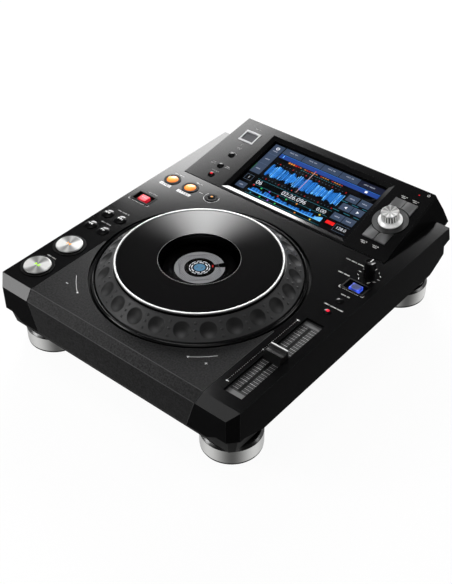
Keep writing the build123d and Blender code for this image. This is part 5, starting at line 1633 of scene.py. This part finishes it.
@dataclass
class BrowseGroup:
    """Selector knob with its four keys at the right of the screen."""

    skirt_r: float = 12.9
    grip_r: float = 9.5
    stem_r: float = 2.2
    low: float = 1.1
    high: float = 14.0
    ribs: int = 20
    groove_z: Pair = (6.0, 12.0)
    groove_depth: float = 1.1
    ring_r: float = 19.0
    ring_z: Pair = (0.78, 0.86)

    def build(self) -> None:
        """Dresses the keys and models the knob."""
        for node in ("back_button", "tag_button", "link_button", "menu_button"):
            dress(node, KEY, 0.3)
        dress("selector_rotor", NICKEL)
        face = Workpiece("selector_ring_face", PANEL, [SLEEVE])
        face.arc(*SELECTOR, self.skirt_r + 0.6, self.ring_r, 0.0, 360.0, 0, *self.ring_z)
        face.finish(Body.CASE, "socket_plastic")
        self.knob()

    def groove(self, face: bmesh.types.BMFace) -> bool:
        """Tells whether a face of the grip lies in a groove, which takes every second pair of faces.

        Args:
            face: The face.

        Returns:
            Whether it lies in one.
        """
        middle = face.calc_center_median()
        turn = math.degrees(math.atan2(middle.y, middle.x)) % 360.0
        return self.groove_z[0] * MM < middle.z < self.groove_z[1] * MM and int(turn * self.ribs / 90.0) % 4 in (1, 2)

    def knob(self) -> None:
        """Turns the skirt and dished top, and sinks grooves into the grip."""
        metal, cap, dark = range(3)
        # the top's bright fans are painted reflections
        top = SpunMetal("selector_top_spun", grey(0.6, -0.01), 0.5, PANEL, SELECTOR, 0.76, 0.4, 0.1, 9, 0.6)
        work = Workpiece("selector_cap", PANEL.at(*SELECTOR), [SILVER, top, DARK])
        work.lathe([(0.0, self.high - 0.3), (7.9, self.high - 0.3), (8.4, self.high), (8.9, self.high - 0.2),
                    (self.grip_r, self.high - 0.9)], slot=cap, steps=4 * self.ribs)
        work.lathe([(self.grip_r, self.high - 0.9), (self.grip_r + 0.2, 5.0), (10.2, 4.2), (12.2, 3.0),
                    (self.skirt_r, 2.3), (self.skirt_r, self.low), (self.stem_r, self.low), (self.stem_r, -10.0),
                    (0.0, -10.0)], slot=metal, steps=4 * self.ribs)
        work.join()
        # the grooves get the black finish, as painted shade in them
        work.sink(self.groove, self.groove_depth, dark)
        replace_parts(work.finish(Body.SELECTOR, "knob_silver", 35.0), "selector_knob")


@dataclass
class Rear:
    """Jack plate and sockets at the back."""

    phono_x: Triple = (-92.0, -74.0, -56.0)
    phono_tones: Tuple[Colour, ...] = ((0.5, 0.18, 0.01), (0.6, 0.6, 0.58), (0.45, 0.01, 0.012))
    rules: Tuple[Pair, ...] = ((-74.0, 46.0), (-12.0, 14.0), (20.0, 11.0), (78.0, 22.0), (116.0, 11.0))

    def build(self) -> None:
        """Dresses the sockets and adds the coloured phono inserts."""
        dress("rear_jack_panel", POWDER, 0.2)
        dress("ac_inlet", SOCKET, 0.25)
        dress("rca_jacks", NICKEL, 0.2)
        dress("data_ports", NICKEL, 0.2)
        dress("power_button", KNOB, 0.3)
        self.inserts()

    def inserts(self) -> None:
        """Models the coloured rings at the root of each phono barrel, and plain rules below the sockets."""
        finishes = [Moulding(f"phono_ring_{k}", tone, 0.35) for k, tone in enumerate(self.phono_tones)]
        work = Workpiece("phono_inserts", BACK, [*finishes, GREY])
        for k, x in enumerate(self.phono_x):
            work.lathe([(4.25, 1.5), (4.25, 2.3), (5.0, 2.2), (5.4, 1.9), (5.4, 1.5)], x, 0.0, k, 40, close=True)
        for x, width in self.rules:
            work.bar(x, 10.4, width, 0.5, len(finishes))
        work.finish(Body.CASE, "socket_plastic")


@dataclass
class Inside:
    """Boards and switches under the deck."""

    boards: Tuple[str, ...] = ("main_board", "power_supply", "control_boards")

    def build(self) -> None:
        """Dresses what can be glimpsed through gaps."""
        for node in self.boards:
            dress(node, BOARD)
        dress("tact_switches", SOCKET)


@dataclass(frozen=True)
class Softbox:
    """A soft lamp, with its place and size in metres and its power in watts."""

    name: str
    place: Triple
    size: Pair
    power: float

    def hang(self, target: Triple) -> None:
        """Hangs the lamp so that it faces a point.

        Args:
            target: The point, in metres.
        """
        data = bpy.data.lights.new(self.name, "AREA")
        data.shape = "RECTANGLE"
        data.size, data.size_y = self.size
        data.energy = self.power
        lamp = bpy.data.objects.new(self.name, data)
        bpy.context.scene.collection.objects.link(lamp)
        lamp.location = self.place
        lamp.rotation_euler = (Vector(target) - Vector(self.place)).to_track_quat("-Z", "Y").to_euler()


@dataclass
class Studio:
    """Floor, soft lamps, world and camera."""

    azimuth: float = 40.042
    elevation: float = 39.606
    roll: float = 0.411
    lens: float = 63.98
    sensor: float = 36.0
    place: Triple = (0.54041, -0.66095, 0.72719)
    target: Triple = (0.0, 0.0, 0.08)
    lift: float = 0.95
    paper: float = 0.88
    surround: float = 0.05
    room: Pair = (14.0, 2.4)
    lamps: Tuple[Softbox, ...] = (
        Softbox("back_box", (-1.2, 1.456, 0.612), (0.7, 1.145), 62.0),
        Softbox("high_box", (-4.507, 3.476, 5.917), (1.9, 0.56), 38.0),
        Softbox("left_box", (-0.84, -0.93, 0.72), (0.48, 0.42), 10.5),
        Softbox("front_box", (-0.6, -1.29, 0.97), (0.35, 0.35), 1.0),
        Softbox("side_box", (-0.544, 1.584, 1.007), (0.28, 0.24), 4.7),
        Softbox("right_box", (1.13, 1.02, 0.85), (0.7, 0.6), 7.0),
        Softbox("fill_box", (1.05, -1.15, 1.2), (1.2, 1.2), 5.0),
        Softbox("top_box", (-0.3, -0.1, 2.4), (0.9, 0.9), 17.0))

    def build(self) -> None:
        """Sets the whole studio."""
        bpy.context.scene.view_settings.view_transform = "Standard"
        self.floor()
        self.world()
        for lamp in self.lamps:
            lamp.hang(self.target)
        self.camera()

    def floor(self) -> None:
        """Lays a pale floor with low walls far behind it, so that every side has the same background."""
        width, height = self.room
        deselect()
        bpy.ops.mesh.primitive_plane_add(size=width, location=(0.0, 0.0, height))
        floor = bpy.context.object
        bpy.ops.object.mode_set(mode="EDIT")
        bpy.ops.mesh.select_all(action="SELECT")
        bpy.ops.mesh.extrude_region_move(TRANSFORM_OT_translate={"value": (0.0, 0.0, -height)})
        bpy.ops.mesh.select_all(action="DESELECT")
        mesh = bmesh.from_edit_mesh(floor.data)
        max(mesh.faces, key=lambda face: face.calc_center_median().z).select_set(True)
        bpy.ops.mesh.delete(type="FACE")
        bpy.ops.object.mode_set(mode="OBJECT")
        bpy.ops.object.transform_apply(location=True, rotation=True, scale=True)
        floor.name = "floor"
        floor.data.materials.append(self.ground())

    def ground(self) -> bpy.types.Material:
        """Makes the floor's paper, which the camera, metal and glass see as white.

        Returns:
            The material.
        """
        graph = Graph("floor_paper")
        grain = graph.noise(graph.place(), 0.5)
        paper = graph.node("ShaderNodeBsdfPrincipled", {}, {
            "Base Color": graph.tint(grey(self.paper), 0.99 + 0.02 * grain), "Roughness": 0.7 + 0.1 * grain,
            "Specular IOR Level": 0.1})
        white = graph.node("ShaderNodeEmission", {}, {"Color": (1.0, 1.0, 1.0, 1.0), "Strength": 1.0})
        rays = [graph.node("ShaderNodeLightPath", out=way)
                for way in ("Is Camera Ray", "Is Glossy Ray", "Is Transmission Ray")]
        seen = rays[0].math("MAXIMUM", rays[1]).math("MAXIMUM", rays[2])
        graph.end(graph.node("ShaderNodeMixShader", {}, {0: seen * self.lift, 1: paper, 2: white}))
        return graph.material

    def world(self) -> None:
        """Sets an even, pale surround."""
        world = bpy.data.worlds.new("surround")
        bpy.context.scene.world = world
        world.use_nodes = True
        shade = world.node_tree.nodes["Background"]
        shade.inputs["Color"].default_value = (1.0, 1.0, 1.0, 1.0)
        shade.inputs["Strength"].default_value = self.surround

    def camera(self) -> None:
        """Stands the camera where the photograph was taken from."""
        az, el, roll = (math.radians(a) for a in (self.azimuth, self.elevation, self.roll))
        forward = Vector((-math.sin(az) * math.cos(el), math.cos(az) * math.cos(el), -math.sin(el)))
        right = Vector((math.cos(az), math.sin(az), 0.0))
        down = Vector((math.sin(az) * math.sin(el), -math.cos(az) * math.sin(el), -math.cos(el)))
        across = math.cos(roll) * right + math.sin(roll) * down
        under = -math.sin(roll) * right + math.cos(roll) * down
        data = bpy.data.cameras.new("camera")
        data.lens = self.lens
        data.sensor_width = self.sensor
        data.sensor_fit = "AUTO"
        camera = bpy.data.objects.new("camera", data)
        bpy.context.scene.collection.objects.link(camera)
        axes = Matrix((across, -under, -forward)).transposed().to_4x4()
        camera.matrix_world = Matrix.Translation(self.place) @ axes
        bpy.context.scene.camera = camera


def main() -> None:
    """Builds the player's looks and the studio."""
    logging.basicConfig(level=logging.INFO)
    for group in (Case(), JogDial(), Display(), Transport(), TempoGroup(), BrowseGroup(), Rear(), Inside(), Studio()):
        group.build()
        log.info("built %s", type(group).__name__)
    deselect()


if __name__ == "__main__":
    main()
